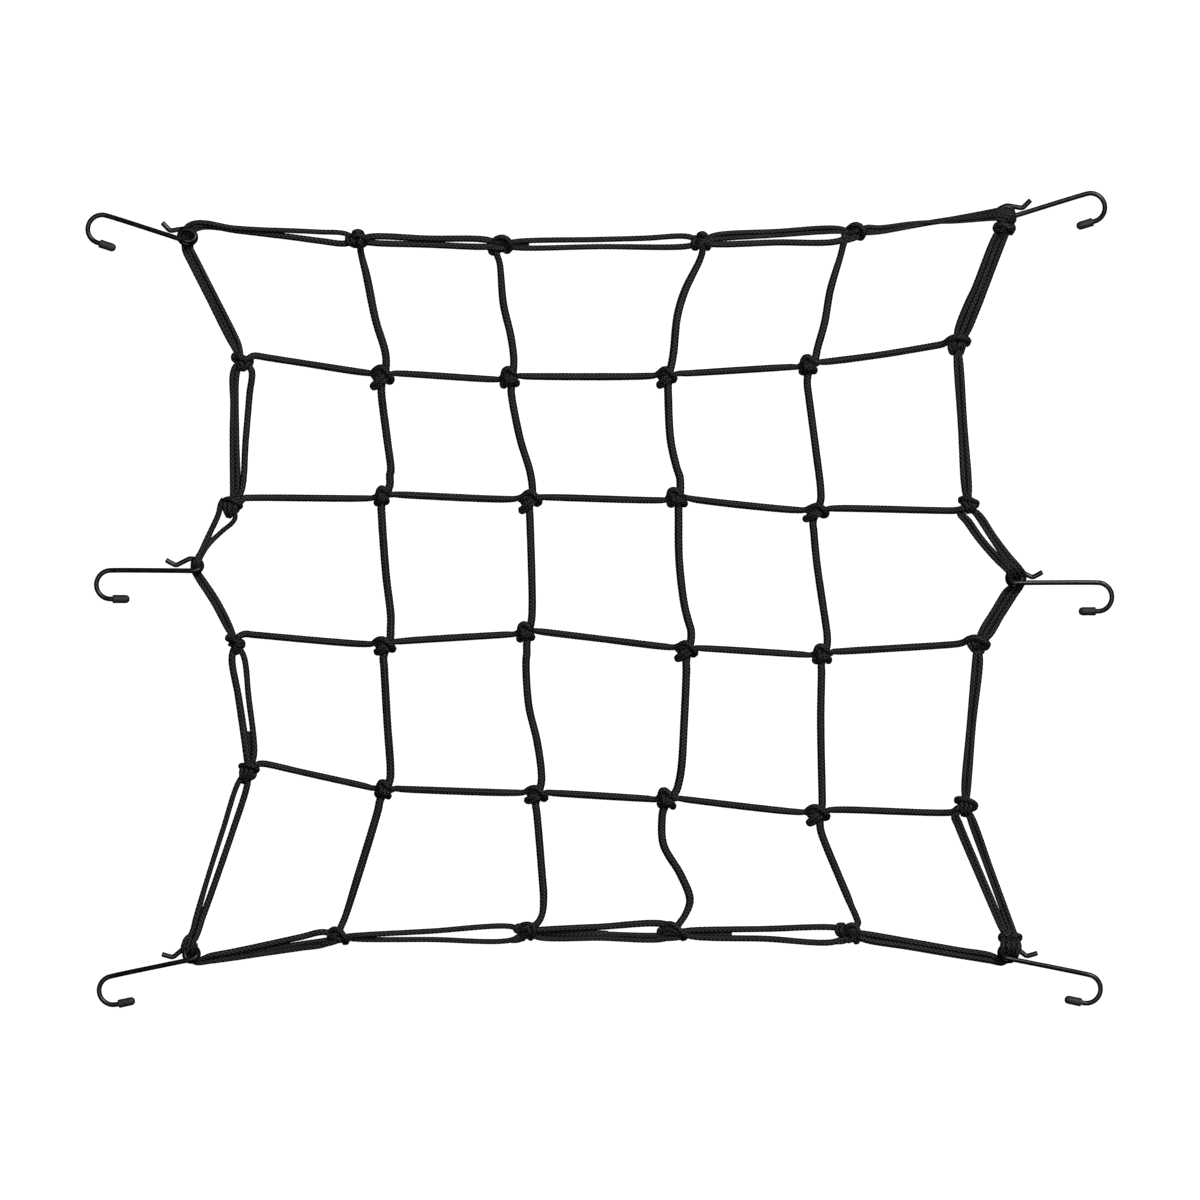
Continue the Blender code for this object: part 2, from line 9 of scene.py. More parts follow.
import bpy
import numpy as np
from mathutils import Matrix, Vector


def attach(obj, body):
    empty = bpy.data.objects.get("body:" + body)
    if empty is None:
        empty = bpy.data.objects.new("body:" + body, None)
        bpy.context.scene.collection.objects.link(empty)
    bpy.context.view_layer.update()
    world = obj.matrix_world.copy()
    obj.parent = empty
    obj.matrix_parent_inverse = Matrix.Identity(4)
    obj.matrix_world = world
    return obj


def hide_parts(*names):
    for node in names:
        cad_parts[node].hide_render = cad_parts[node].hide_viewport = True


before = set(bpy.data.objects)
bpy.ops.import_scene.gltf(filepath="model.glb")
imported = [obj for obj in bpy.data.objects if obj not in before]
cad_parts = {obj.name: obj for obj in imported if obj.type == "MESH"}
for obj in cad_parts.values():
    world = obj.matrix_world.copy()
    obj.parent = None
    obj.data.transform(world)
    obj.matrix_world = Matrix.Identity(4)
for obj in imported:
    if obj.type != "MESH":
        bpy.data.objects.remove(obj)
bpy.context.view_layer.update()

MM = 0.001
TENTHS = 10                           # in a millimetre
OUTLINE_CENTRE = (-0.135, 0.555)      # centre of the object's outline in the tables

# Cords
RELAXED_RADIUS = 1.8                  # columns
STRETCHED_RADIUS = 1.52               # rows
MESH_END_RADIUS = 1.55                # mesh cord where it leaves a border knot
KNOT_CORD_RADIUS = 1.15               # cord pulled tight in a border knot
CORD_SIDES = 16
RELAXED_PICK = 0.9                    # length of one crossing of the braid
STRETCHED_PICK = 1.1
PICK_STEPS = 2
BRAID_RELIEF = 0.055                  # how far the crossings stand out, as a share of the radius
CURVE_STEPS = 10                      # places taken between two points of a table
FEWEST_STEPS = 6                      # along the shortest cord
PICK_DEPTH = 0.45                     # how much a row's tufts rise and fall, beside its own rise
FULLNESS = 1.1                        # the crowns of the braid stand a little outside a strand's radius
SWAY = 0.006                          # unevenness of a cord's radius, in three waves of these lengths
SWAY_WAVES = (9.0, 23.0, 61.0)
REST_GAP = 0.06                       # a resting cord's underside stands this far off the ground
UPRIGHT = 0.9                         # a curve that starts steeper than this is framed from the side
SEED = 7

# How cords go into knots
KNOT_REACH = 13.0                     # points of a column or row nearer to a knot than this steer it there
STEER_SHARE = 0.5                     # how much of that shift the next point in the knot takes
ROW_KNOT_RADIUS = 1.3                 # the row's cord where it is wound round the column
TURN_RADIUS = 1.0                     # the further turns beside it
COLUMN_HOLD = 5.0                     # a column lies as told this far above and below a mesh knot
COLUMN_END = 10.0                     # and comes in and goes out here
COLUMN_HEIGHTS = (2.0, 2.1, 2.4)      # at its ends, where it is held and in the middle
KNOT_OVERLAP = 1.5                    # border strands end this far from a knot's centre
KNOT_MID = 3.0                        # and at this height
RUN_RADIUS = 1.15                     # strands of the border cord that run on through a knot

# Knots and their centres
KNOTS = {
    "a1": (-1085, 1125), "a2": (-450, 1110), "a3": (335, 1120), "a4": (1040, 1165), "b1": (-1085, 525),
    "b2": (-365, 500), "b3": (385, 515), "b4": (1085, 440), "c1": (-1075, -240), "c2": (-365, -165),
    "c3": (425, -250), "c4": (1110, -275), "d1": (-1075, -950), "d2": (-325, -975), "d3": (335, -1000),
    "d4": (1085, -1075), "top1": (-1210, 1800), "top2": (-490, 1775), "top3": (505, 1790),
    "top4": (1270, 1835), "low1": (-1300, -1685), "low2": (-375, -1660), "low3": (390, -1660),
    "low4": (1250, -1660), "left_a": (-1790, 1190), "left_b": (-1840, 470), "left_c": (-1820, -210),
    "left_d": (-1755, -850), "right_a": (1785, 1280), "right_b": (1840, 475), "right_c": (1885, -220),
    "right_d": (1830, -1030),
}

# Mesh knots: the column runs through beneath, and the row's cord is wound round it in one of two ways.
# Each knot has its own pull: the places of the top turn, the lower right turn and the lower left turn,
# and how far sideways the column stands above and below.
WIDE_SPOTS = ((-18.5, 37), (41, -24), (-48, -55))
TALL_SPOTS = ((-8, 46), (33, -23), (-34, -33))
WIDE_PULLS = {
    "a1": ((-18.5, 37), (41, -24), (-48, -55), 20, -6),
    "a3": ((-15, 34), (35, -14), (-38, -44), 13, 4),
    "b2": ((3, 37), (60, -9), (-26.5, -50), 28, 10),
    "b4": ((-6, 32), (43, -11), (-56, -33), 17, -23),
    "c1": ((-21, 46), (40, -3), (-40, -19), 23, -11),
    "c3": ((-6, 35), (49, -15), (-37, -40), 30, 6),
    "d2": ((-6, 37), (50, -14), (-38, -26), 32, -3),
    "d4": ((-20, 42), (49, -7), (-38, -37), 26, 9),
}
TALL_PULLS = {
    "a2": ((-8, 46), (33, -23), (-34, -33), 18, 6),
    "a4": ((-2, 51), (32, -15), (-30, -22), 27.5, -2),
    "b1": ((-2, 35), (19, -29), (-31, -37), 34, -8),
    "b3": ((-14, 37), (37, -30), (-34, -34), 20, 8),
    "c2": ((-13, 46), (25, -18), (-37, -28), 18, -1),
    "c4": ((-3, 46), (34, -23), (-33, -26), 26, -3),
    "d1": ((-5, 41), (18, -27), (-38, -19), 23, -14),
    "d3": ((-10, 51), (30, -26), (-34, -21), 32, -9),
}
WIDE_ROW = (
    (-105, 12, 22), (-62, 10, 30), (-46, 20, 42), (-26, 34.5, 56), (-6, 37.5, 64), (12, 25, 68),
    (28, 8, 66), (42, -12, 56), (45, -27, 42), (33, -36, 28), (22, -33, 26, 11), (16, -14, 36, 10.5),
    (3, -6, 54, 10.5), (-18, -21, 60, 10.5), (-39, -39, 52, 11), (-53, -52, 38, 12), (-49, -64, 32, 12),
    (-32, -62, 40, 11), (-12, -47, 52, 10.5), (6, -31, 56, 10.5), (20, -22, 44, 11), (32, -6, 30, 13),
    (52, 7, 26), (105, 7.5, 22),
)
WIDE_TURNS = (
    ((-60, -2, 28), (-38, 6, 44), (-12, 13, 52), (10, 3, 50), (24, -14, 42)),
    ((-50, -4, 24), (-42, -17, 36), (-26, -16, 46), (4, -6, 44), (20, -26, 34)),
    ((-40, -26, 26), (-34, -46, 30), (-16, -42, 34), (8, -24, 36)),
    ((-54, 2, 20, 16), (-30, 6, 26, 18), (-12, -4, 34, 18), (14, -12, 32, 16)),
)
TALL_ROW = (
    (-100, -6.5, 22), (-56, -6, 28), (-40, 2, 38, 13), (-35, 16, 48, 12.5), (-33, 27, 54, 12.5),
    (-24, 41, 60, 12.5), (-8, 46, 64, 12.5), (9, 37, 66, 12.5), (19, 22, 62, 12.5), (26, 12, 48, 13),
    (38, 9, 32), (54, 11, 27), (100, 9, 22),
)
TALL_TURNS = (
    ((-34, -16, 30), (-35, 2, 38), (-33, 22, 48)),
    ((-22, 24, 44), (-19, 16, 56), (-17.5, -5, 62), (-17, -24, 56), (-22, -39, 42), (-33, -44, 32),
     (-42, -34, 28), (-39, -22, 30)),
    ((15, 26, 54), (8, 9, 58), (-2, -8, 60), (-5, -26, 52), (-6, -38, 38)),
    ((-6, -2, 52), (10, -1, 58), (26, -9, 56), (39, -21, 44), (36, -35, 32), (22, -34, 30)),
    ((-6, -16, 50), (12, -16, 56), (28, -24, 46), (26, -36, 30)),
    ((-46, -14, 26), (-34, -26, 36), (-14, -36, 40), (8, -34, 36), (24, -22, 34)),
    ((-24, -14, 24, 17), (-18, 12, 28, 18), (-6, 30, 32, 15), (8, 24, 32, 15)),
)

# Border knots: how the cord of the mesh leaves each, from inside outwards, and the turns wound round it
BORDER_KNOTS = {
    "top1": (
        ((6, 18, 42), (11, -10, 60), (13, -50, 36), (18, -80, 22)),
        ((-26, 26, 30), (-22, 46, 50), (-2, 55, 56), (18, 48, 50), (28, 28, 34)),
        ((-42, -6, 40), (-30, 16, 60), (-4, 27, 70), (26, 18, 64), (50, -4, 50), (48, -26, 36),
         (26, -46, 26)),
        ((-44, 28, 32), (-56, 16, 46), (-62, -6, 50), (-46, -30, 46), (-22, -44, 32), (2, -46, 24)),
        ((-66, 14, 26), (-42, 4, 56), (-28, -22, 56), (-14, -38, 36)),
    ),
    "top2": (
        ((-32, -20, 36), (-24, -52, 30), (-12, -90, 21)),
        ((-54, 4, 32), (-48, 26, 48), (-24, 42, 60), (6, 45, 68), (34, 32, 70), (50, 4, 66), (49, -22, 50),
         (32, -39, 34), (12, -32, 26)),
        ((-46, -6, 28), (-32, 14, 42), (-4, 18, 44), (20, 8, 36)),
        ((-72, -26, 26), (-66, -44, 22), (-46, -49, 24), (-30, -36, 34)),
    ),
    "top3": (
        ((6, -10, 54), (7, -46, 36), (-6, -90, 22)),
        ((-12, 30, 32), (-10, 46, 50), (12, 52, 58), (30, 40, 50), (30, 18, 46), (16, -2, 56),
         (-4, -16, 64), (-24, -34, 50), (-42, -38, 30)),
        ((-30, 32, 30), (-44, 12, 46), (-50, -12, 48), (-44, -36, 32), (-24, -38, 22)),
        ((-24, 6, 52), (6, 8, 64), (34, -8, 60), (50, -26, 44), (44, -39, 28), (22, -34, 22)),
    ),
    "top4": (
        ((-42, -20, 40), (-54, -60, 28), (-66, -110, 20)),
        ((-40, 26, 32), (-18, 42, 56), (12, 49, 66), (40, 36, 70), (58, 10, 66), (55, -16, 50),
         (40, -30, 34), (22, -26, 26)),
        ((-48, 2, 34), (-10, 4, 48), (20, 16, 52), (34, 30, 44)),
        ((-20, 18, 30), (-52, 9, 40), (-66, -12, 42), (-48, -27, 38), (-16, -22, 42), (14, -12, 44)),
    ),
    "low1": (
        ((-4, 26, 36), (6, 54, 32), (24, 96, 22)),
        ((-74, 14, 30), (-62, 34, 44), (-38, 48, 56), (-8, 36, 68), (16, 10, 70), (34, -18, 58),
         (32, -36, 36), (14, -36, 24)),
        ((-68, 16, 28), (-68, -4, 42), (-44, 4, 56), (-22, 20, 54), (-2, 14, 42)),
        ((-60, -16, 34), (-30, -12, 52), (-4, -14, 54), (16, -28, 40)),
    ),
    "low2": (
        ((42, 30, 44), (64, 46, 34), (86, 90, 24)),
        ((-26, 42, 32), (-4, 50, 48), (24, 51, 56), (49, 39, 60), (57, 16, 62), (55, -12, 58),
         (46, -36, 48), (34, -49, 36), (18, -36, 30)),
        ((-20, 38, 36), (-44, 38, 44), (-60, 22, 46), (-54, 4, 44), (-34, 2, 48), (-14, 16, 56),
         (8, 30, 60), (28, 24, 54)),
        ((-26, 4, 36), (-8, 24, 54), (18, 22, 62), (28, 0, 62), (16, -18, 56), (0, -36, 46), (-14, -49, 30),
         (-10, -60, 24)),
    ),
    "low3": (
        ((-10, 20, 34), (9, 47, 34), (36, 86, 26)),
        ((-102, 24, 32), (-80, 41, 44), (-50, 49, 54), (-18, 38, 64), (8, 13, 68), (30, -14, 62),
         (39, -35, 44), (20, -40, 28)),
        ((-90, 24, 30), (-112, 8, 36), (-110, -6, 34), (-86, 9, 46), (-50, 16, 54), (-16, 4, 58),
         (12, -20, 50), (28, -32, 34)),
        ((-106, -10, 30), (-80, -14, 38), (-44, -6, 46), (-10, -16, 48)),
    ),
    "low4": (
        ((24, 24, 44), (39, 44, 40), (29, 80, 30), (7, 130, 22)),
        ((-56, 42, 26), (-72, 36, 44), (-79, 14, 50), (-70, -8, 42), (-54, -16, 28)),
        ((-40, 42, 28), (-50, 32, 50), (-52, 10, 58), (-44, -12, 50), (-30, -22, 32)),
        ((-26, 10, 44), (-18, 32, 56), (6, 42, 62), (32, 36, 64), (46, 14, 64), (44, -10, 58),
         (28, -28, 52), (6, -26, 52)),
        ((-28, -12, 42), (-8, 4, 60), (14, 12, 66), (24, -4, 62), (10, -18, 58)),
        ((-38, -14, 34), (-26, -36, 40), (-10, -49, 40), (8, -42, 44), (18, -26, 48)),
        ((6, -18, 48), (20, -38, 48), (36, -56, 34), (46, -50, 24), (46, -28, 26)),
    ),
    "left_a": (
        ((26, 4, 40), (36, 19, 44), (54, 30, 36), (74, 31, 28), (110, 25, 22), (147.5, 19, 19)),
        ((-20, 49, 32), (-46, 49, 44), (-55, 32, 46), (-49, 14, 36), (-34, 8, 26)),
        ((-50, 44, 40), (-30, 42, 58), (-6, 26, 66), (20, 17, 64), (42, 24, 56), (56, 18, 48), (56, -4, 36),
         (46, -22, 28)),
        ((-34, 6, 36), (-22, -16, 52), (-8, -38, 48), (8, -44, 42), (26, -30, 44), (36, -6, 46)),
        ((-10, 12, 48), (-4, -14, 60), (4, -34, 52), (16, -44, 34)),
        ((12, -28, 44), (32, -16, 52), (48, -4, 46)),
    ),
    "left_b": (
        ((6, 0, 36), (36, 16, 32), (60, 38, 30), (95, 41, 23)),
        ((-46, 14, 30), (-50, 28, 44), (-24, 39, 60), (4, 33, 68), (28, 19, 64), (47, 4, 50), (46, -8, 34),
         (28, -8, 26)),
        ((-38, 22, 40), (-44, -2, 50), (-42, -26, 46), (-32, -50, 38), (-24, -64, 28)),
        ((-16, 24, 46), (-16, -6, 56), (-20, -36, 52), (-28, -60, 36)),
        ((22, 14, 46), (18, -12, 54), (8, -34, 52), (-6, -54, 44), (-18, -65, 32)),
        ((6, 20, 40), (2, -10, 46), (-6, -38, 44)),
    ),
    "left_c": (
        ((4, 8, 40), (16, 28, 44), (44, 40, 34), (90, 36, 24)),
        ((-30, 34, 30), (-48, 33, 42), (-52, 19, 44), (-36, 16, 54), (-16, 14, 62), (4, 6, 66),
         (22, -2, 62), (36, 4, 54), (45, -9, 46), (36, -24, 40), (18, -30, 34)),
        ((-26, 2, 36), (-8, -4, 54), (12, -18, 58), (34, -20, 50), (44, -24, 34)),
        ((-14, -6, 36), (-6, -30, 48), (-2, -54, 44), (4, -67, 32), (12, -54, 30), (16, -30, 36)),
    ),
    "left_d": (
        ((6, 2, 36), (30, 14, 34), (48, 30, 34), (76, 31, 26), (110, 25, 21)),
        ((-46, 12, 30), (-52, 26, 42), (-26, 32, 60), (6, 30, 68), (32, 20, 62), (49, 8, 48), (48, -4, 32),
         (30, -6, 24)),
        ((-36, 24, 40), (-46, -8, 50), (-46, -40, 46), (-40, -68, 38), (-34, -82, 28)),
        ((-12, 22, 46), (-18, -16, 56), (-28, -50, 50), (-34, -74, 36)),
        ((18, 16, 48), (10, -18, 54), (-4, -46, 50), (-20, -72, 40), (-30, -82, 30)),
    ),
    "right_a": (
        ((44, 0, 26), (53, 6, 34), (53, 18, 48), (34, 28, 62), (5, 33, 68), (-22, 29, 62), (-42, 19, 52),
         (-58, 6, 38), (-82, -3, 28), (-120, -10, 22)),
        ((-36, 16, 38), (-42, -10, 50), (-42, -36, 48), (-30, -57, 36), (-16, -56, 28)),
        ((-12, 22, 44), (-20, -4, 58), (-22, -30, 54), (-18, -50, 38)),
        ((38, 20, 44), (30, -6, 54), (12, -16, 58), (-4, -34, 52), (-12, -52, 36)),
        ((52, 12, 36), (44, -14, 46), (36, -40, 38), (28, -64, 32)),
    ),
    "right_b": (
        ((16, 0, 36), (-6, -12, 40), (-28, -20, 44), (-60, -27, 32), (-100, -28, 23)),
        ((-26, 18, 28), (-45, 26, 38), (-44, 40, 50), (-14, 47, 64), (12, 40, 68), (34, 26, 62),
         (54, 17, 48), (52, -2, 36), (38, -8, 28)),
        ((-36, 32, 44), (-24, 14, 54), (-8, -6, 58), (-4, -30, 52), (0, -44, 36)),
        ((8, 32, 48), (12, 8, 60), (14, -18, 58), (10, -43, 40)),
        ((36, 20, 46), (38, -4, 54), (32, -28, 48), (22, -44, 34)),
    ),
    "right_c": (
        ((36, -18, 24), (47, -13, 32), (52, -2, 46), (40, 11, 62), (16, 24, 68), (-14, 31, 64),
         (-44, 24, 52), (-66, 9, 36), (-94, 1, 28), (-130, -3, 23)),
        ((-46, 12, 38), (-48, -14, 48), (-36, -38, 46), (-22, -58, 34), (-10, -52, 28)),
        ((-24, 18, 46), (-28, -8, 56), (-18, -32, 50), (-12, -50, 34)),
        ((10, 12, 50), (-6, -6, 60), (-6, -30, 52), (-8, -54, 34)),
        ((42, -6, 44), (34, -24, 46), (26, -48, 36), (20, -74, 30)),
    ),
    "right_d": (
        ((4, 8, 36), (-18, 2, 40), (-42, -12, 44), (-64, -29, 34), (-100, -34, 23)),
        ((-34, 22, 28), (-56, 29, 38), (-53, 44, 50), (-26, 44, 62), (4, 39, 68), (32, 29, 64),
         (54, 14, 52), (59, -4, 42), (44, -18, 32), (26, -16, 26)),
        ((-22, 30, 48), (-26, 2, 54), (-24, -28, 50), (-16, -54, 36)),
        ((2, 30, 50), (0, 0, 60), (-4, -32, 56), (-9, -56, 36)),
        ((30, 20, 48), (28, -8, 54), (16, -34, 50), (0, -56, 34)),
    ),
}
# Outline that each border knot's turns fill: left, right, bottom, top
BORDER_BOXES = {
    "top1": (-67, 54, -41, 54), "top2": (-72, 55, -53, 49), "top3": (-52, 51, -44, 53),
    "top4": (-64, 60, -39, 53), "low1": (-70, 46, -39, 54), "low2": (-60, 58, -52, 52),
    "low3": (-106, 47, -45, 55), "low4": (-78, 50, -62, 49), "left_a": (-54, 58, -48, 49),
    "left_b": (-52, 54, -64, 47), "left_c": (-54, 49, -66, 39), "left_d": (-53, 53, -73, 37),
    "right_a": (-47, 52, -62, 34), "right_b": (-50, 56, -47, 47), "right_c": (-50, 56, -56, 30),
    "right_d": (-60, 60, -59, 49),
}
# Strands of the border cord that run on through a knot
BORDER_RUNS = {
    "top2": (((-90, -12, 32), (-25, -18, 52), (12, -17, 44)),),
    "top4": (((-90, -42, 32), (-40, -40, 40), (-4, -30, 44), (24, -18, 34)),),
    "low1": (((-90, -38, 34), (-46, -31, 44), (-12, -20, 46), (16, -16, 36)),),
    "low2": (((-90, -42, 28), (-42, -43, 32), (-18, -34, 40), (-8, -16, 46)),),
    "low3": (((-110, -35, 34), (-40, -33, 40), (0, -29, 42), (30, -24, 36)),),
    "low4": (((-90, -48, 30), (-50, -50, 34), (-24, -45, 34), (-8, -30, 36)),),
}
# Bulk of a border knot: shares of its outline's half sides, then height and radius in millimetres
KNOT_BULK = (
    ((-0.6, -0.25, 2, 1.65), (-0.25, 0.4, 2.2, 1.65), (0.3, 0.4, 2.2, 1.65), (0.55, -0.1, 2, 1.65),
     (0.1, -0.45, 2, 1.65), (-0.4, -0.4, 2, 1.65)),
    ((-0.45, 0, 2, 1.6), (0, 0, 2.2, 1.8), (0.4, 0, 2, 1.6)),
)

# Columns and rows: knots in order, and the points between each two. A border knot leads its own cord, so
# the points begin beyond its reach.
COLUMNS = (
    (("top1", "a1", "b1", "c1", "d1", "low1"),
     (((-1168, 1625), (-1122, 1400), (-1074, 1240)),
      ((-1093, 1035), (-1064, 800), (-1046, 650)),
      ((-1092, 430), (-1070, 125), (-1046, -80), (-1047, -145)),
      ((-1080, -330), (-1063, -625), (-1048, -840)),
      ((-1110, -1050), (-1208, -1375)))),
    (("top2", "a2", "b2", "c2", "d2", "low2"),
     (((-483, 1480), (-447, 1325), (-432, 1220)),
      ((-443, 1030), (-398, 800), (-352, 650), (-339, 575)),
      ((-351, 420), (-342, 150), (-339, -40)),
      ((-370, -310), (-356, -530), (-316, -700), (-294, -850)),
      ((-316, -1065), (-290, -1370), (-282, -1490)))),
    (("top3", "a3", "b3", "c3", "d3", "low3"),
     (((426, 1550), (387, 1420), (368, 1240)),
      ((341, 1025), (353, 800), (384, 660), (399, 615)),
      ((393, 425), (396, 200), (422, -25), (446, -120)),
      ((432, -350), (420, -630), (408, -830), (395, -910)),
      ((310, -1095), (318, -1225), (404, -1375), (450, -1500)))),
    (("top4", "a4", "b4", "c4", "d4", "low4"),
     (((1152, 1550), (1124, 1390), (1087, 1255)),
      ((1042, 1035), (1083, 725), (1104, 550)),
      ((1069, 345), (1085, 180), (1132, -140)),
      ((1108, -360), (1104, -600), (1110, -930)),
      ((1106, -1160), (1194, -1380), (1237, -1481)))),
)
ROWS = (
    (("left_a", "a1", "a2", "a3", "a4", "right_a"),
     (((-1500, 1187), (-1180, 1138)),
      ((-990, 1132), (-540, 1104)),
      ((-370, 1119), (240, 1120)),
      ((440, 1134), (950, 1165)),
      ((1135, 1192), (1400, 1226)))),
    (("left_b", "b1", "b2", "b3", "b4", "right_b"),
     (((-1180, 508),),
      ((-990, 526), (-470, 504)),
      ((-275, 514), (290, 499)),
      ((480, 502), (980, 450)),
      ((1185, 458),))),
    (("left_c", "c1", "c2", "c3", "c4", "right_c"),
     (((-1180, -220),),
      ((-990, -206), (-470, -173)),
      ((-280, -160), (0, -194), (320, -233)),
      ((520, -242), (1005, -272)),
      ((1205, -257),))),
    (("left_d", "d1", "d2", "d3", "d4", "right_d"),
     (((-1500, -859), (-1180, -930)),
      ((-980, -946), (-430, -964)),
      ((-225, -966), (235, -994)),
      ((435, -998), (985, -1060)),
      ((1185, -1049),))),
)

# Strands of the border cord and the cord through the hooks' eyes: (radius, route).
# A route starts and ends at a point or inside a knot.
TOP_STRANDS = (
    (12, ("top1", (-1275, 1832, 40), (-1400, 1840, 34), (-1550, 1847, 32), (-1700, 1852, 35),
          (-1850, 1863, 37), (-1960, 1884, 46), (-2015, 1886, 48), (-2054, 1874, 46), (-2077, 1848, 43),
          (-2081, 1816, 39), (-2080, 1784, 30), (-2079, 1746, 22, 10), (-2052, 1691, 22, 11),
          (-1957, 1504, 22, 11), (-1863, 1316, 28, 11), "left_a")),
    (13.5, ("top1", (-1275, 1782, 32, 15), (-1400, 1796, 20, 15), (-1550, 1816, 16, 14.5),
            (-1700, 1833, 15), (-1850, 1852, 15), (-1960, 1872, 28, 12), (-2002, 1871, 38, 12),
            (-2036, 1860, 43, 11), (-2057, 1840, 43, 11), (-2061, 1814, 39, 11), (-2060, 1784, 29, 10),
            (-2062, 1755, 22, 10), (-2035, 1700, 13, 10), (-1940, 1513, 12, 10), (-1845, 1325, 16, 10),
            (-1822, 1276, 18, 10), "left_a")),
    (10.5, ((-1880, 1856, 20), (-1960, 1863, 22), (-2000, 1858, 32), (-2032, 1842, 40), (-2042, 1816, 39),
            (-2042, 1786, 29), (-2044, 1762, 22), (-2018, 1709, 22), (-1923, 1522, 22), (-1827, 1334, 28),
            (-1805, 1284, 28), (-1796, 1248, 30), "left_a")),
    (15.5, ("top1", (-1140, 1817, 36), (-860, 1807, 26), (-570, 1801, 36), "top2")),
    (15, ("top1", (-1140, 1786, 32), (-860, 1777, 20), (-570, 1766, 32), "top2")),
    (11, ((-470, 1779, 26), (-410, 1778, 20), (-355, 1780, 15))),
    (13, ("top2", (-420, 1792, 34), (0, 1803, 24), (220, 1809, 27), (440, 1817, 34, 13.5), "top3")),
    (12.8, ("top2", (-420, 1761, 34), (0, 1767, 24), (440, 1769, 34, 14), "top3")),
    (11.5, ("top3", (570, 1824, 36), (880, 1844, 28), (1190, 1860, 42, 10.5), "top4")),
    (11.5, ("top3", (570, 1804, 30, 13), (880, 1824, 20), (1190, 1842, 34, 11), "top4")),
    (15, ("top3", (570, 1779, 32), (880, 1788, 22), (1190, 1794, 32), "top4")),
    (10, ("top4", (1330, 1865, 38), (1400, 1864, 32), (1550, 1883, 28), (1660, 1890, 32), (1760, 1892, 24),
          (1900, 1901, 44), (1960, 1904, 60), (1996, 1902, 68), (2022, 1897, 66), (2033, 1885, 56),
          (2024, 1870, 42), (1996, 1846, 30, 12.5), (1970, 1809, 28, 12.5), (1873, 1560, 24, 13.5),
          (1838, 1485, 24, 14), (1784, 1346, 30, 12), "right_a")),
    (10, ("top4", (1330, 1850, 28), (1400, 1850, 20), (1550, 1870, 14), (1660, 1893, 14), (1760, 1908, 28),
          (1900, 1933, 46), (1960, 1944, 64), (2000, 1950, 73), (2035, 1943, 75), (2062, 1923, 71),
          (2070, 1900, 56), (2059, 1879, 42), (2039, 1846, 32, 12.5), (2017, 1791, 28, 12.5),
          (1920, 1540, 24, 13.5), (1891, 1465, 24, 14), (1834, 1332, 30, 12), "right_a")),
    (10.5, ("top4", (1330, 1834, 34), (1400, 1839, 34), (1550, 1866, 34), (1660, 1886, 15),
            (1760, 1900, 16), (1900, 1922, 50), (1960, 1931, 71), (2000, 1934, 79), (2034, 1927, 80),
            (2056, 1909, 72), (2058, 1890, 54), (2043, 1870, 40), (2019, 1844, 34, 12.5),
            (1994, 1800, 22, 14), (1897, 1550, 14, 16), (1864, 1475, 14, 17), (1809, 1340, 18, 16),
            "right_a")),
    (10, ((1700, 1898, 26), (1800, 1904, 34), (1900, 1912, 52), (1960, 1918, 69), (2000, 1919, 76),
          (2030, 1912, 76), (2046, 1898, 68), (2046, 1880, 50), (2028, 1860, 38), (2004, 1836, 30))),
)
LEFT_STRANDS = (
    (12, ("left_a", (-1823, 1170, 38), (-1839, 1125, 34), (-1837, 980, 28), (-1840, 820, 26),
          (-1838, 540, 34), "left_b")),
    (13, ("left_a", (-1806, 1160, 30), (-1817, 1115, 26), (-1818, 820, 18), (-1815, 540, 24), "left_b")),
    (15, ("left_a", (-1743, 1150, 30, 16), (-1753, 1025, 22, 16), (-1772, 800, 20, 15.5), (-1793, 545, 32),
          "left_b")),
    (13.5, ((-1880, 504, 40), (-1893, 486, 38), (-1909, 425, 32), (-1943, 350, 34), (-1977, 276, 48),
            (-1992, 240, 66), (-2013, 204, 79), (-2029, 172, 76, 12), (-2029, 142, 42, 11.5),
            (-2012, 106, 22, 11), (-1931, -18, 16, 12.5), (-1866, -139, 28, 12), "left_c")),
    (11.5, ("left_b", (-1823, 416, 34), (-1838, 387, 28), (-1883, 350, 24), (-1934, 302, 28),
            (-1966, 264, 40), (-1988, 226, 62), (-2002, 196, 79), (-2011, 168, 76), (-2009, 140, 42),
            (-1992, 112, 22, 12.5), (-1913, -7, 16, 12.5), (-1849, -128, 28, 11), "left_c")),
    (10, ((-1916, 322, 24), (-1948, 296, 32), (-1982, 268, 48), (-2004, 220, 64), (-2012, 180, 52),
          (-2008, 150, 32))),
    (12.5, ((-1754, -656, 14), (-1753, -760, 16), (-1749, -830, 24))),
    (16.5, ("left_c", (-1840, -290, 32), (-1809, -480, 22, 17), (-1766, -765, 32, 18), "left_d")),
    (14.2, ("left_c", (-1780, -285, 32), (-1758, -480, 20), (-1729, -775, 32), "left_d")),
    (12.8, ("left_d", (-1804, -905, 34), (-1886, -1150, 22), (-1980, -1450, 22), (-2020, -1595, 32, 15),
            (-2035, -1648, 38), (-2049, -1679, 46), (-2066, -1693, 52), (-2078, -1720, 54),
            (-2082, -1746, 48), (-2070, -1770, 36), (-2050, -1784, 28))),
    (15.5, ("left_d", (-1766, -935, 32), (-1835, -1150, 22), (-1940, -1455, 22), (-1990, -1595, 32),
            (-2006, -1648, 44), (-2018, -1686, 60, 13), (-2034, -1716, 74, 11), (-2038, -1746, 70, 11),
            (-2036, -1776, 44, 11), (-2008, -1798, 30, 12), (-1950, -1780, 36, 14.5),
            (-1850, -1761, 34, 15), (-1700, -1730, 30, 15), (-1500, -1686, 26, 15), (-1380, -1660, 34, 15),
            "low1")),
)
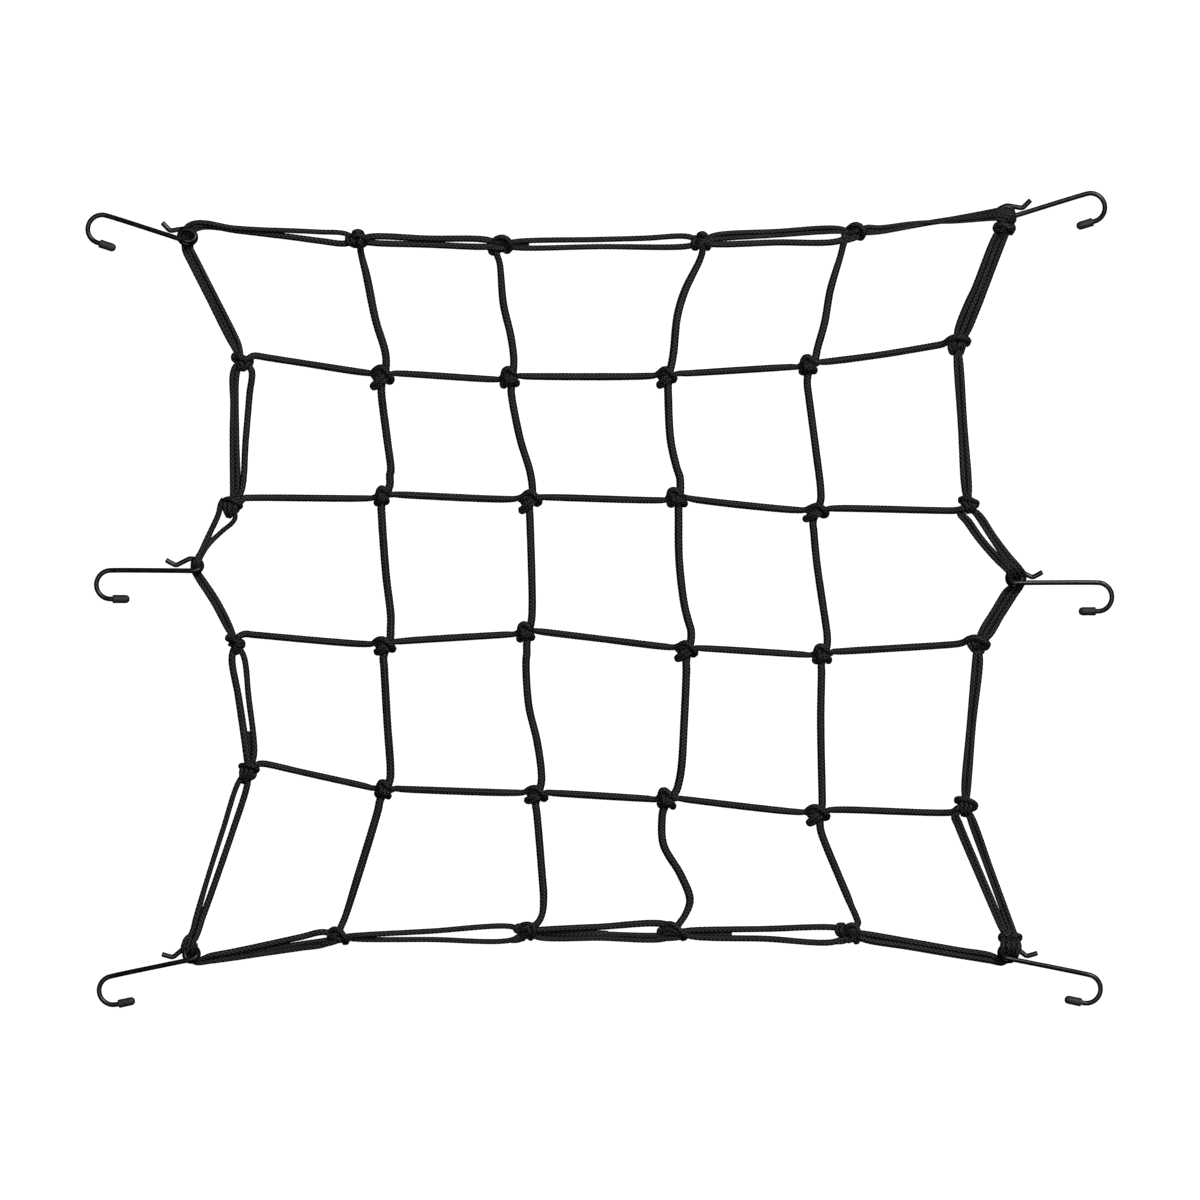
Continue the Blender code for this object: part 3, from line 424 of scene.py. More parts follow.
BOTTOM_STRANDS = (
    (11.5, ((-2056, -1750, 40), (-2046, -1776, 30), (-2016, -1802, 19), (-1950, -1793, 16),
            (-1850, -1780, 14), (-1700, -1753, 14), (-1500, -1720, 16), (-1380, -1702, 28), "low1")),
    (11.5, ((-2064, -1740, 44), (-2060, -1776, 32), (-2024, -1812, 28), (-1950, -1807, 32),
            (-1850, -1794, 30), (-1700, -1772, 24), (-1500, -1743, 22), (-1380, -1725, 32), "low1")),
    (13, ("low1", (-1220, -1676, 46), (-850, -1656, 28), (-445, -1632, 36), "low2")),
    (12.5, ("low1", (-1220, -1696, 24), (-850, -1698, 20), (-445, -1700, 30), "low2")),
    (15, ("low2", (-305, -1649, 44), (0, -1634, 26), (320, -1620, 38, 16.5), "low3")),
    (13, ((-340, -1662, 24), (-240, -1660, 17), (-100, -1662, 15), (40, -1668, 15))),
    (12.5, ("low2", (-305, -1668, 18), (0, -1671, 16), (320, -1675, 28), "low3")),
    (12, ("low2", (-305, -1689, 36), (0, -1692, 22), (320, -1696, 32), "low3")),
    (12, ((430, -1667, 26), (540, -1667, 18), (660, -1668, 15))),
    (14.5, ("low3", (465, -1651, 34), (820, -1645, 22), (1180, -1638, 34), "low4")),
    (14.5, ("low3", (465, -1683, 32), (820, -1694, 20), (1180, -1707, 34), "low4")),
)
RIGHT_STRANDS = (
    (12.5, ("right_a", (1780, 1210, 32), (1802, 880, 22), (1821, 560, 34, 14), "right_b")),
    (12.5, ("right_a", (1801, 1210, 32), (1824, 880, 24), (1846, 560, 34, 14), "right_b")),
    (10.5, ("right_b", (1795, 433, 34), (1828, 389, 30), (1891, 300, 36), (1981, 196, 64), (2020, 158, 80),
            (2049, 128, 68), (2061, 102, 44), (2060, 72, 30, 11.5), (2031, 47, 24, 12.5),
            (1968, -53, 17, 12.5), (1906, -154, 32, 12.5), "right_c")),
    (10.5, ("right_b", (1815, 434, 34), (1848, 397, 32), (1907, 312, 38), (1996, 209, 68), (2040, 164, 84),
            (2070, 132, 71), (2084, 104, 46), (2081, 72, 31, 11.5), (2052, 34, 29, 12.5),
            (1989, -66, 23, 12.5), (1926, -167, 34, 12.5), "right_c")),
    (10.5, ("right_b", (1888, 412, 32), (1957, 305, 38), (2029, 201, 70, 12.5), (2072, 160, 84),
            (2096, 131, 71), (2107, 102, 46), (2103, 70, 30, 11.5), (2073, 21, 24, 12.5),
            (2010, -79, 17, 12.5), (1947, -180, 32, 12.5), "right_c")),
    (10.5, ("right_b", (1904, 424, 32), (1976, 316, 36), (2051, 212, 66, 12.5), (2092, 168, 80),
            (2115, 136, 66), (2120, 106, 44), (2112, 76, 30), (2090, 40, 22))),
    (14, ("right_c", (1876, -290, 32), (1846, -625, 22, 12), (1819, -955, 34, 12.5), "right_d")),
    (14, ("right_c", (1901, -290, 32), (1868, -625, 24, 12), (1841, -955, 34, 12.5), "right_d")),
    (11, ("right_d", (1767, -1078, 38), (1785, -1132, 30), (1883, -1363, 22), (1993, -1619, 34),
          (2022, -1680, 42, 12), (2014, -1709, 62, 13), (2012, -1732, 75, 13), (2018, -1762, 62, 12),
          (2023, -1788, 34), (2006, -1798, 30, 13), (1950, -1775, 28, 14), (1800, -1751, 20, 14),
          (1550, -1708, 22, 15), (1320, -1668, 34, 15), "low4")),
    (11, ("right_d", (1786, -1070, 36), (1805, -1124, 28), (1902, -1355, 18), (2011, -1612, 30),
          (2039, -1682, 42, 12), (2038, -1709, 70, 13), (2038, -1732, 82, 13), (2039, -1762, 66, 12),
          (2039, -1790, 32), (2014, -1814, 22, 13), (1950, -1803, 22, 14), (1800, -1779, 17, 14),
          (1550, -1735, 18, 15), (1320, -1696, 32, 15), "low4")),
    (11, ("right_d", (1849, -1103, 30), (1940, -1353, 18), (2030, -1603, 30), (2060, -1680, 42, 12),
          (2064, -1709, 70, 13), (2065, -1733, 82, 13), (2060, -1763, 65, 12), (2055, -1790, 32),
          (2030, -1809, 26))),
    (11, ("right_d", (1868, -1096, 32), (1958, -1346, 22), (2049, -1596, 34), (2078, -1678, 40, 12),
          (2089, -1710, 62, 13), (2092, -1736, 76, 13), (2082, -1765, 79, 12), (2068, -1783, 50),
          (2056, -1798, 32))),
)
CORNER_STRANDS = (                    # the knots close to the corner hooks
    (14, ((-2008, -1600, 17), (-2024, -1655, 18), (-2036, -1695, 26))),
    (14.5, ((1995, 1843, 26), (1979, 1853, 38), (1980, 1869, 48), (2005, 1877, 60), (2035, 1865, 64),
            (2057, 1849, 54), (2051, 1835, 34))),
    (14, ((1989, 1845, 40), (2013, 1849, 54), (2037, 1871, 52), (2059, 1871, 44), (2063, 1853, 34),
          (2047, 1839, 26))),
    (14, ((2042, -1697, 28), (2009, -1697, 36), (2003, -1682, 46), (2022, -1672, 54), (2048, -1681, 56))),
    (14, ((2038, -1685, 46), (2058, -1677, 60), (2082, -1676, 58), (2098, -1685, 46), (2088, -1699, 36),
          (2064, -1695, 32))),
    (12, ((2032, -1669, 34), (2036, -1657, 44), (2048, -1661, 46))),
    (13, ((-2041, -1690, 48), (-2055, -1716, 58), (-2060, -1742, 58), (-2052, -1768, 44),
          (-2038, -1786, 28))),
    (11.5, ((-2022, -1718, 46), (-2022, -1742, 56), (-2028, -1766, 44), (-2030, -1786, 28))),
)
BORDER = {
    "cords_top": TOP_STRANDS, "cords_left": LEFT_STRANDS, "cords_bottom": BOTTOM_STRANDS,
    "cords_right": RIGHT_STRANDS, "cords_corners": CORNER_STRANDS,
}

# Hooks: name -> (eye x, eye y, heading in degrees, side of the bend)
HOOKS = {
    "tl": (-206.0, 182.0, 161.9, 1),
    "tr": (202.3, 193.5, 17.2, -1),
    "lm": (-202.7, 17.5, 179.7, 1),
    "rm": (206.9, 11.5, 0.1, -1),
    "bl": (-204.5, -176.5, 192.3, 1),
    "br": (204.2, -176.0, -11.9, -1),
}
# Eyes: hook -> (the wire's passes over and under the cord: across and height; reach of each half turn)
EYES = {
    "tl": (((2.9, 9.4), (-3.0, 7.6), (4.3, 6.3), (-3.1, 1.34)), (3.95, 3.95, 4.15)),
    "tr": (((2.9, 5.0), (-3.0, 3.85), (4.3, 2.6), (-3.1, 1.34)), (4.1, 4.1, 4.3)),
    "lm": (((2.9, 9.4), (-2.7, 4.6), (3.7, 6.3), (-2.8, 1.34)), (3.6, 0.7, 3.7)),
    "rm": (((2.9, 9.4), (-3.0, 4.6), (4.3, 6.3), (-3.1, 1.34)), (3.0, 3.9, 3.2)),
    "bl": (((2.9, 9.4), (-2.9, 4.6), (4.1, 6.3), (-3.0, 1.34)), (3.5, 3.2, 3.7)),
    "br": (((2.9, 9.4), (-3.0, 4.6), (4.3, 6.3), (-3.1, 1.34)), (4.15, 4.15, 4.35)),
}
WIRE_RADIUS = 1.26
WIRE_SIDES = 24
WIRE_STEP = 0.6
EYE_STEPS = 10                        # places in each half turn of an eye
SHANK_OFFSET = 2.9                    # sideways from the eye's middle
SHANK_BEND = 6.0                      # the shank comes down from the eye up to here
SHANK_DROP = 0.7
BEND_START = 42.0                     # where the shank goes over into the J bend
BEND_LEAD = 1.2
BEND_RADIUS = 7.15
TIP_OFFSET = SHANK_OFFSET + 2 * BEND_RADIUS
BEND_STEPS = 14
BEND_TOP_HEIGHT = 1.75
BEND_LOW_HEIGHT = 1.45
TIP_HEIGHT = 2.25
WIRE_END = 34.2                       # end of the wire inside its rubber cap
TAIL_ROUTE = ((2.2, -3.2, 1.34), (6.2, -1.4, 1.34), (9.4, 0.0, 1.36), (11.6, -0.9, 1.45), (14.5, -2.5, 1.6))
WIRE_END_ROUND = 0.45                 # the cut ends of the wire are rounded off by this

# Rubber cap: (depth from its mouth, radius)
TIP_MOUTH = 41.0
TIP_BORE_DEPTH = 7.2
CAP_PROFILE = (
    (TIP_BORE_DEPTH, 0.0), (TIP_BORE_DEPTH, 1.3), (0.35, 1.3), (0.05, 1.5), (0.0, 1.75), (0.12, 2.0),
    (0.5, 2.13), (1.0, 2.15), (4.0, 2.1), (6.2, 2.12), (7.0, 2.03), (7.7, 1.75), (8.2, 1.32), (8.48, 0.8),
    (8.6, 0.0),
)
CAP_SIDES = 40
CAP_STEP = 0.22

# Camera: straight above the middle of the picture, with a long lens
LENS = 200.0
SENSOR = 36.0
HALF_VIEW = 0.3                       # metres of ground from the picture's middle to its edge
FOCUS_HEIGHT = 0.003
FAR_CLIP = 20.0

# Ground and light, in metres and watts
FLOOR_HALF = 4.0
FLOOR_COLOUR = 0.12                   # the floor glows white, so little of its look comes from the lamps,
FLOOR_GLOW = 1.0                      # and no shadow shows on it, as on a light table
FLOOR_ROUGHNESS = 0.9
FLOOR_SPECULAR = 0.1
WHITE = (1.0, 1.0, 1.0, 1.0)
WORLD_STRENGTH = 0.9
LIGHTS = (                            # name, place, size, power
    ("overhead", (0.0, 0.0, 4.2), 1.0, 95.0),
    ("key", (1.5, 2.0, 3.0), 0.8, 240.0),
)

# Looks: noise is (scale per metre, detail), bump (strength, distance in metres), a ramp (place, colour)
SLANT = 0.45                          # how far a tuft leans along the cord
YARNS = 4.0                           # yarns across a tuft
FIBRE_NOISE = (2600.0, 3.0)
PATCH_NOISE = (90.0, 2.0)
CORD_RELIEF = (1.0, 0.7, 0.12, 0.5)   # weights of crown, tuft, yarns and fibres in the bump
CORD_TONE_AND_PAINTED_LIGHT = (0.42, 0.22, 0.05, 0.3, 0.2)    # the same and the patches, for the colour: crowns, tufts and yarns lighter as painted highlight and darker between them as painted shade, fibres and patches as random tone
CORD_BUMP = (0.75, 0.00014)
# Colour ramp of the cord: its light end is painted highlight on the braid's crowns and its dark end is
# painted shade in the dips between tufts
CORD_RAMP = (
    (0.3, (0.0003, 0.0003, 0.0003)), (0.5, (0.0025, 0.0025, 0.0026)),
    (0.72, (0.011, 0.011, 0.0112)), (1.0, (0.05, 0.05, 0.0503)),
)
CORD_GLOSS = {"Roughness": 0.5, "Specular_IOR_Level": 0.1}
HANDLING_NOISE = (420.0, 4.0)
COATING_NOISE = (2200.0, 1.0)
COATING_BUMP = (0.12, 0.00008)
WIRE_RAMP = ((0.3, (0.002, 0.002, 0.0022)), (0.75, (0.006, 0.006, 0.0064)))
WIRE_ROUGHNESS = ((0.3, (0.24, 0.24, 0.24)), (0.75, (0.38, 0.38, 0.38)))
WIRE_SPECULAR = 0.14
GRAIN_NOISE = (3800.0, 2.0)
GRAIN_BUMP = (0.35, 0.00006)
DUST_NOISE = (260.0, 3.0)
RUBBER_RAMP = ((0.35, (0.005, 0.005, 0.005)), (0.8, (0.014, 0.014, 0.014)))
RUBBER_GLOSS = {"Roughness": 0.6, "Specular_IOR_Level": 0.2}

chance = np.random.default_rng(SEED)


def mm(numbers):
    """A table's tenths of a millimetre in millimetres."""
    return np.array(numbers, float) / TENTHS


CENTRES = {name: mm(centre) for name, centre in KNOTS.items()}


def with_radius(rows, radius):
    """Points with the given radius where they state none of their own."""
    return np.array([(*row, radius) if len(row) == 3 else row for row in rows], float)


def from_table(rows, radius):
    """A table's route in millimetres."""
    return with_radius([mm(row) for row in rows], radius)


def smooth(points, step):
    """Evenly spaced places on a centripetal Catmull-Rom curve through the points."""
    ends = np.vstack((2 * points[0] - points[1], points, 2 * points[-1] - points[-2]))
    gaps = np.sqrt(np.linalg.norm(np.diff(ends[:, :3], axis=0), axis=1))
    times = np.concatenate(((0.0,), np.cumsum(gaps)))
    runs = []
    for n in range(len(points) - 1):
        p0, p1, p2, p3 = ends[n:n + 4]
        t0, t1, t2, t3 = times[n:n + 4]
        t = np.linspace(t1, t2, CURVE_STEPS, endpoint=False)[:, None]
        a1 = ((t1 - t) * p0 + (t - t0) * p1) / (t1 - t0)
        a2 = ((t2 - t) * p1 + (t - t1) * p2) / (t2 - t1)
        a3 = ((t3 - t) * p2 + (t - t2) * p3) / (t3 - t2)
        b1 = ((t2 - t) * a1 + (t - t0) * a2) / (t2 - t0)
        b2 = ((t3 - t) * a2 + (t - t1) * a3) / (t3 - t1)
        runs.append(((t2 - t) * b1 + (t - t1) * b2) / (t2 - t1))
    runs.append(points[-1:])
    fine = np.vstack(runs)
    lengths = np.linalg.norm(np.diff(fine[:, :3], axis=0), axis=1)
    along = np.concatenate(((0.0,), np.cumsum(lengths)))
    count = max(FEWEST_STEPS, round(along[-1] / step))
    stops = np.linspace(0.0, along[-1], count + 1)
    return np.column_stack([np.interp(stops, along, column) for column in fine.T])


def frames(places):
    """Two directions across the curve at each place, turning as little as possible."""
    tangents = np.gradient(places, axis=0)
    tangents /= np.linalg.norm(tangents, axis=1)[:, None]
    seed = np.array((0.0, 0.0, 1.0)) if abs(tangents[0][2]) < UPRIGHT else np.array((1.0, 0.0, 0.0))
    normals = np.empty_like(tangents)
    for n, tangent in enumerate(tangents):
        seed = seed - tangent * seed.dot(tangent)
        seed /= np.linalg.norm(seed)
        normals[n] = seed
    return normals, np.cross(tangents, normals)


def skin(rings, sides):
    """Faces of a closed tube whose two end points come last, and the braid's place at their corners."""
    ring, side = np.divmod(np.arange((rings - 1) * sides), sides)
    after = (side + 1) % sides
    here, there = ring * sides, (ring + 1) * sides
    walls = np.column_stack((here + side, here + after, there + after, there + side))
    marks = np.stack((np.column_stack((side, side + 1, side + 1, side)),
                      np.column_stack((ring, ring, ring + 1, ring + 1)) / PICK_STEPS), axis=-1)
    rim = np.arange(sides)
    turn = (rim + 1) % sides
    base = (rings - 1) * sides
    first = base + sides
    lids = [(first, b, a) for a, b in zip(rim, turn)]
    lids += [(first + 1, base + a, base + b) for a, b in zip(rim, turn)]
    return walls.tolist() + lids, np.vstack((marks.reshape(-1, 2), np.zeros((len(lids) * 3, 2))))


def sweep(route, sides, relief=0.0):
    """A closed tube along a route, with the crowns and tufts of the braid as relief."""
    places, radii = route[:, :3], route[:, 3]
    rings = len(places)
    normals, binormals = frames(places)
    angles = 2 * np.pi * np.arange(sides) / sides
    wales = np.sin(np.arange(sides) * np.pi / 2)
    picks = np.cos(np.arange(rings) * np.pi / PICK_STEPS)
    braid = np.abs(wales)[None, :] * 2 - 1 + PICK_DEPTH * np.outer(picks, wales)
    reach = radii[:, None] * (1 + relief * braid)
    around = (normals[:, None] * np.cos(angles)[None, :, None]
              + binormals[:, None] * np.sin(angles)[None, :, None])
    points = (places[:, None] + around * reach[..., None]).reshape(-1, 3)
    points = np.vstack((points, places[:1], places[-1:]))
    return points, *skin(rings, sides)


def piece(name, tubes, material, nodes):
    """One mesh object from many tubes. It rides on the root and stands for the CAD nodes."""
    points, faces, marks = [], [], []
    offset = 0
    for tube_points, tube_faces, tube_marks in tubes:
        points.append(tube_points)
        faces += [[corner + offset for corner in face] for face in tube_faces]
        marks.append(tube_marks)
        offset += len(tube_points)
    spots = np.vstack(points)
    spots[:, 0] -= OUTLINE_CENTRE[0]
    spots[:, 1] -= OUTLINE_CENTRE[1]
    mesh = bpy.data.meshes.new(name)
    mesh.from_pydata((spots * MM).tolist(), [], faces)
    layer = mesh.uv_layers.new(name="braid")
    layer.data.foreach_set("uv", np.vstack(marks).astype(np.float32).ravel())
    mesh.shade_smooth()
    mesh.update()
    mesh.materials.append(material)
    thing = bpy.data.objects.new(name, mesh)
    bpy.context.scene.collection.objects.link(thing)
    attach(thing, "root")
    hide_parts(*nodes)
    return thing


def cord(points, pick):
    """A braided cord through the points, with the small unevenness of a knitted cover."""
    step = pick / PICK_STEPS
    route = smooth(points, step)
    along = np.arange(len(route)) * step
    phases = chance.uniform(0, 2 * np.pi, 3)
    sway = sum(np.sin(along * 2 * np.pi / wave + phase) for wave, phase in zip(SWAY_WAVES, phases))
    route[:, 3] *= FULLNESS * (1 + SWAY * sway)
    route[:, 2] = np.maximum(route[:, 2], route[:, 3] * (1 + BRAID_RELIEF * (1 + PICK_DEPTH)))
    return sweep(route, CORD_SIDES, BRAID_RELIEF)


def near(place, knot):
    """Whether a place is one that steers the cord into this knot."""
    x, y = CENTRES[knot]
    return math.hypot(place[0] - x, place[1] - y) < KNOT_REACH


def steered(path, start, end):
    """A knot's path with its ends moved to where the strand really comes in and goes out."""
    path = path.copy()
    for place, order in ((start, (0, 1)), (end, (-1, -2))):
        if place is not None:
            shift = np.array(place) - path[order[0], :2]
            path[order[0], :2] += shift
            path[order[1], :2] += shift * STEER_SHARE
    return path


def pulled(rows, spots, places, radius):
    """A knot's route, moved so that its three spots come to the places given."""
    points = from_table(rows, radius)
    change = np.linalg.solve(np.column_stack((mm(spots), np.ones(3))), mm(places))
    points[:, :2] = np.column_stack((points[:, :2], np.ones(len(points)))) @ change
    return points


def row_in_knot(name, start, end):
    """The row's cord through one mesh knot, and the turns beside it."""
    if name in WIDE_PULLS:
        rows, turns, spots, pull = WIDE_ROW, WIDE_TURNS, WIDE_SPOTS, WIDE_PULLS[name]
    else:
        rows, turns, spots, pull = TALL_ROW, TALL_TURNS, TALL_SPOTS, TALL_PULLS[name]
    routes = [pulled(rows, spots, pull[:3], ROW_KNOT_RADIUS)]
    routes += [pulled(turn, spots, pull[:3], TURN_RADIUS) for turn in turns]
    for route in routes:
        route[:, :2] += CENTRES[name]
    main = routes[0]
    main[0, 3] = main[-1, 3] = STRETCHED_RADIUS
    return steered(main, start, end), routes[1:]


def column_in_knot(name, start, end):
    """The column's cord through one mesh knot, beneath the row's turns."""
    above, below = mm((WIDE_PULLS.get(name) or TALL_PULLS[name])[3:])
    end_height, held_height, middle_height = COLUMN_HEIGHTS
    rows = ((above, COLUMN_END, end_height), (above, COLUMN_HOLD, held_height),
            ((above + below) / 2, 0.0, middle_height),
            (below, -COLUMN_HOLD, held_height), (below, -COLUMN_END, end_height))
    route = with_radius(rows, RELAXED_RADIUS)
    route[:, :2] += CENTRES[name]
    return steered(route, start, end)


def way_out(name):
    """The mesh cord's first points out of a border knot."""
    points = from_table(BORDER_KNOTS[name][0], MESH_END_RADIUS)
    points[:, :2] += CENTRES[name]
    return points


def mesh_cord(knots, stretches, row):
    """A column or a row from one border knot to another, and the turns of its mesh knots."""
    radius = STRETCHED_RADIUS if row else RELAXED_RADIUS
    stretches = [mm(stretch) for stretch in stretches]
    parts, turns = [way_out(knots[0])], []
    for n, stretch in enumerate(stretches):
        here, there = knots[n], knots[n + 1]
        middle = [place for place in stretch if not near(place, here) and not near(place, there)]
        if middle:
            parts.append(with_radius([(*place, radius + REST_GAP) for place in middle], radius))
        if n + 1 == len(stretches):
            break
        before = [place for place in stretch if near(place, there)]
        after = [place for place in stretches[n + 1] if near(place, there)]
        ends = (before[-1] if before else None, after[0] if after else None)
        if row:
            main, more = row_in_knot(there, *ends)
            turns += more
        else:
            main = column_in_knot(there, *ends)
        parts.append(main)
    parts.append(way_out(knots[-1])[::-1])
    return np.vstack(parts), turns


def border_knot(name):
    """A border knot's turns, drawn to fill its outline, its bulk and the strands that run through it."""
    left, right, bottom, top = mm(BORDER_BOXES[name])
    low = np.array((left, bottom)) + KNOT_CORD_RADIUS
    high = np.array((right, top)) - KNOT_CORD_RADIUS
    turns = [from_table(rows, KNOT_CORD_RADIUS) for rows in BORDER_KNOTS[name][1:]]
    spots = np.vstack(turns)[:, :2]
    start, end = spots.min(axis=0), spots.max(axis=0)
    for turn in turns:
        turn[:, :2] = low + (turn[:, :2] - start) / (end - start) * (high - low)
    bulk = [np.array(rows, float) for rows in KNOT_BULK]
    for route in bulk:
        route[:, :2] = (low + high) / 2 + route[:, :2] * (high - low) / 2
    runs = [from_table(rows, RUN_RADIUS) for rows in BORDER_RUNS.get(name, ())]
    routes = turns + bulk + runs
    for route in routes:
        route[:, :2] += CENTRES[name]
    return routes


def border_route(radius, rows):
    """A border strand, with its ends pushed into the knots that it names."""
    names = [row for row in rows if isinstance(row, str)]
    points = from_table([row for row in rows if not isinstance(row, str)], mm(radius))
    if isinstance(rows[0], str):
        points = np.vstack((inside_knot(names[0], points[0]), points))
    if isinstance(rows[-1], str):
        points = np.vstack((points, inside_knot(names[-1], points[-1])))
    return points


def inside_knot(name, outside):
    """The hidden end of a strand inside a knot, on the side that it comes from."""
    way = outside[:2] - CENTRES[name]
    spot = CENTRES[name] + way / np.linalg.norm(way) * KNOT_OVERLAP
    return np.array((*spot, KNOT_MID, outside[3]))


def eye_point(hook, along, across, height):
    """Place of a point given in one hook's own directions."""
    x, y, heading, side = HOOKS[hook]
    angle = math.radians(heading)
    forward = np.array((math.cos(angle), math.sin(angle)))
    sideways = np.array((-forward[1], forward[0])) * side
    return (*(np.array((x, y)) + forward * along + sideways * across), height)


def hook_route(hook):
    """The wire's centre line, from the rubber tip to the end of the tail, in eye directions."""
    passes, reaches = EYES[hook]
    route = [(WIRE_END, TIP_OFFSET, TIP_HEIGHT), (BEND_START - BEND_LEAD, TIP_OFFSET, TIP_HEIGHT)]
    for step in range(BEND_STEPS + 1):
        share = step / BEND_STEPS
        angle = math.pi / 2 - math.pi * share
        dip = math.sin(math.pi * share)
        height = TIP_HEIGHT + (BEND_TOP_HEIGHT - TIP_HEIGHT) * share
        route.append((BEND_START + BEND_RADIUS * math.cos(angle),
                      SHANK_OFFSET + BEND_RADIUS * (1 + math.sin(angle)),
                      height + (BEND_LOW_HEIGHT - BEND_TOP_HEIGHT) * dip))
    top = passes[0][1]
    route.append((SHANK_BEND, SHANK_OFFSET, top - SHANK_DROP))
    route.append((0.0, *passes[0]))
    outward = -1
    for reach, here, there in zip(reaches, passes, passes[1:]):
        for step in range(1, EYE_STEPS + 1):
            angle = math.pi * step / EYE_STEPS
            blend = (1 - math.cos(angle)) / 2
            route.append((outward * reach * math.sin(angle),
                          here[0] + (there[0] - here[0]) * blend,
                          here[1] + (there[1] - here[1]) * blend))
        outward = -outward
    return route + list(TAIL_ROUTE)


def wire(hook):
    """A hook's wire as one tube with rounded ends."""
    points = with_radius([eye_point(hook, *place) for place in hook_route(hook)], WIRE_RADIUS)
    route = smooth(points, WIRE_STEP)
    tip, tail = route[:1].copy(), route[-1:].copy()
    route[0, 3] -= WIRE_END_ROUND
    route[-1, 3] -= WIRE_END_ROUND
    tip[0, :3] = route[0, :3] + (route[1, :3] - route[0, :3]) * WIRE_END_ROUND
    tail[0, :3] = route[-1, :3] + (route[-2, :3] - route[-1, :3]) * WIRE_END_ROUND
    return sweep(np.vstack((route[:1], tip, route[1:-1], tail, route[-1:])), WIRE_SIDES)


def cap(hook):
    """A turned rubber cap with a blind bore, slipped over the end of the wire."""
    mouth = np.array(eye_point(hook, TIP_MOUTH, TIP_OFFSET, TIP_HEIGHT))
    beyond = np.array(eye_point(hook, TIP_MOUTH - 1.0, TIP_OFFSET, TIP_HEIGHT))
    axis = beyond - mouth
    across = np.cross(axis, (0.0, 0.0, 1.0))
    profile = smooth(np.array([(depth, radius, 0.0, 0.0) for depth, radius in CAP_PROFILE]), CAP_STEP)
    profile[:, 1] = np.maximum(profile[:, 1], 0.0)
    angles = 2 * np.pi * np.arange(CAP_SIDES) / CAP_SIDES
    around = np.array((0.0, 0.0, 1.0)) * np.cos(angles)[:, None] + across * np.sin(angles)[:, None]
    inner = profile[1:-1]
    points = (mouth + inner[:, 0, None, None] * axis + inner[:, 1, None, None] * around[None]).reshape(-1, 3)
    points = np.vstack((points, mouth + profile[0, 0] * axis, mouth + profile[-1, 0] * axis))
    return points, *skin(len(inner), CAP_SIDES)


class Nodes:
    """Short calls to build a material's nodes."""

    def __init__(self, name):
        self.material = bpy.data.materials.new(name)
        self.material.use_nodes = True
        self.tree = self.material.node_tree
        self.shader = self.tree.nodes["Principled BSDF"]

    def add(self, kind, **settings):
        node = self.tree.nodes.new(kind)
        for key, value in settings.items():
            setattr(node, key, value)
        return node

    def join(self, source, target):
        self.tree.links.new(source, target)

    def math(self, operation, first, second=None):
        node = self.add("ShaderNodeMath", operation=operation)
        for socket, value in zip(node.inputs, (first, second)):
            if value is None:
                continue
            if isinstance(value, (int, float)):
                socket.default_value = value
            else:
                self.join(value, socket)
        return node.outputs[0]

    def weigh(self, parts, weights):
        """The parts, each times its weight, added up."""
        total = self.math("MULTIPLY", parts[0], weights[0])
        for part, weight in zip(parts[1:], weights[1:]):
            total = self.math("ADD", total, self.math("MULTIPLY", part, weight))
        return total

    def noise(self, scale, detail):
        """Fractal noise at a size given per metre, fixed to the object."""
        place = self.add("ShaderNodeTexCoord").outputs["Object"]
        texture = self.add("ShaderNodeTexNoise")
        texture.inputs["Scale"].default_value = scale
        texture.inputs["Detail"].default_value = detail
        self.join(place, texture.inputs["Vector"])
        return texture.outputs[0]

    def ramp(self, factor, stops):
        node = self.add("ShaderNodeValToRGB")
        colours = node.color_ramp.elements
        while len(colours) < len(stops):
            colours.new(0.5)
        for element, (position, colour) in zip(colours, stops):
            element.position = position
            element.color = (*colour, 1.0)
        self.join(factor, node.inputs[0])
        return node.outputs[0]

    def bump(self, height, strength, distance):
        node = self.add("ShaderNodeBump")
        node.inputs["Strength"].default_value = strength
        node.inputs["Distance"].default_value = distance
        self.join(height, node.inputs["Height"])
        self.join(node.outputs[0], self.shader.inputs["Normal"])

    def set(self, **values):
        for name, value in values.items():
            self.shader.inputs[name.replace("_", " ")].default_value = value


def cord_material():
    """Black braided textile: rows of slanting tufts run along the cord. Its colour has a painted highlight
    on the crowns and tufts and painted shade as dark lines between them, over a random tone of fibres and
    patches.
    """
    n = Nodes("black_braided_cord")
    place = n.add("ShaderNodeUVMap", uv_map="braid").outputs[0]
    split = n.add("ShaderNodeSeparateXYZ")
    n.join(place, split.inputs[0])
    u, v = split.outputs[0], split.outputs[1]
    wale = n.math("SINE", n.math("MULTIPLY", u, math.pi / 2))
    crown = n.math("ABSOLUTE", wale)
    side = n.math("SIGN", wale)
    across = n.math("SUBTRACT", n.math("FLOORED_MODULO", u, 2.0), 1.0)
    lean = n.math("MULTIPLY", n.math("MULTIPLY", across, side), SLANT)
    tuft = n.math("COSINE", n.math("MULTIPLY", n.math("ADD", v, lean), math.pi))
    tuft = n.math("MULTIPLY", n.math("MULTIPLY", tuft, side), crown)
    run = n.math("SUBTRACT", across, n.math("MULTIPLY", n.math("MULTIPLY", v, side), 1 / SLANT))
    yarns = n.math("COSINE", n.math("MULTIPLY", run, math.pi * YARNS))
    fibres = n.noise(*FIBRE_NOISE)
    patches = n.noise(*PATCH_NOISE)
    parts = (crown, tuft, yarns, fibres)
    n.bump(n.weigh(parts, CORD_RELIEF), *CORD_BUMP)
    # Base colour: painted highlight on crowns and tufts, painted shade between them, and random tone from
    # fibres and patches
    n.join(n.ramp(n.weigh((*parts, patches), CORD_TONE_AND_PAINTED_LIGHT), CORD_RAMP), n.shader.inputs["Base Color"])
    n.set(**CORD_GLOSS)
    return n.material


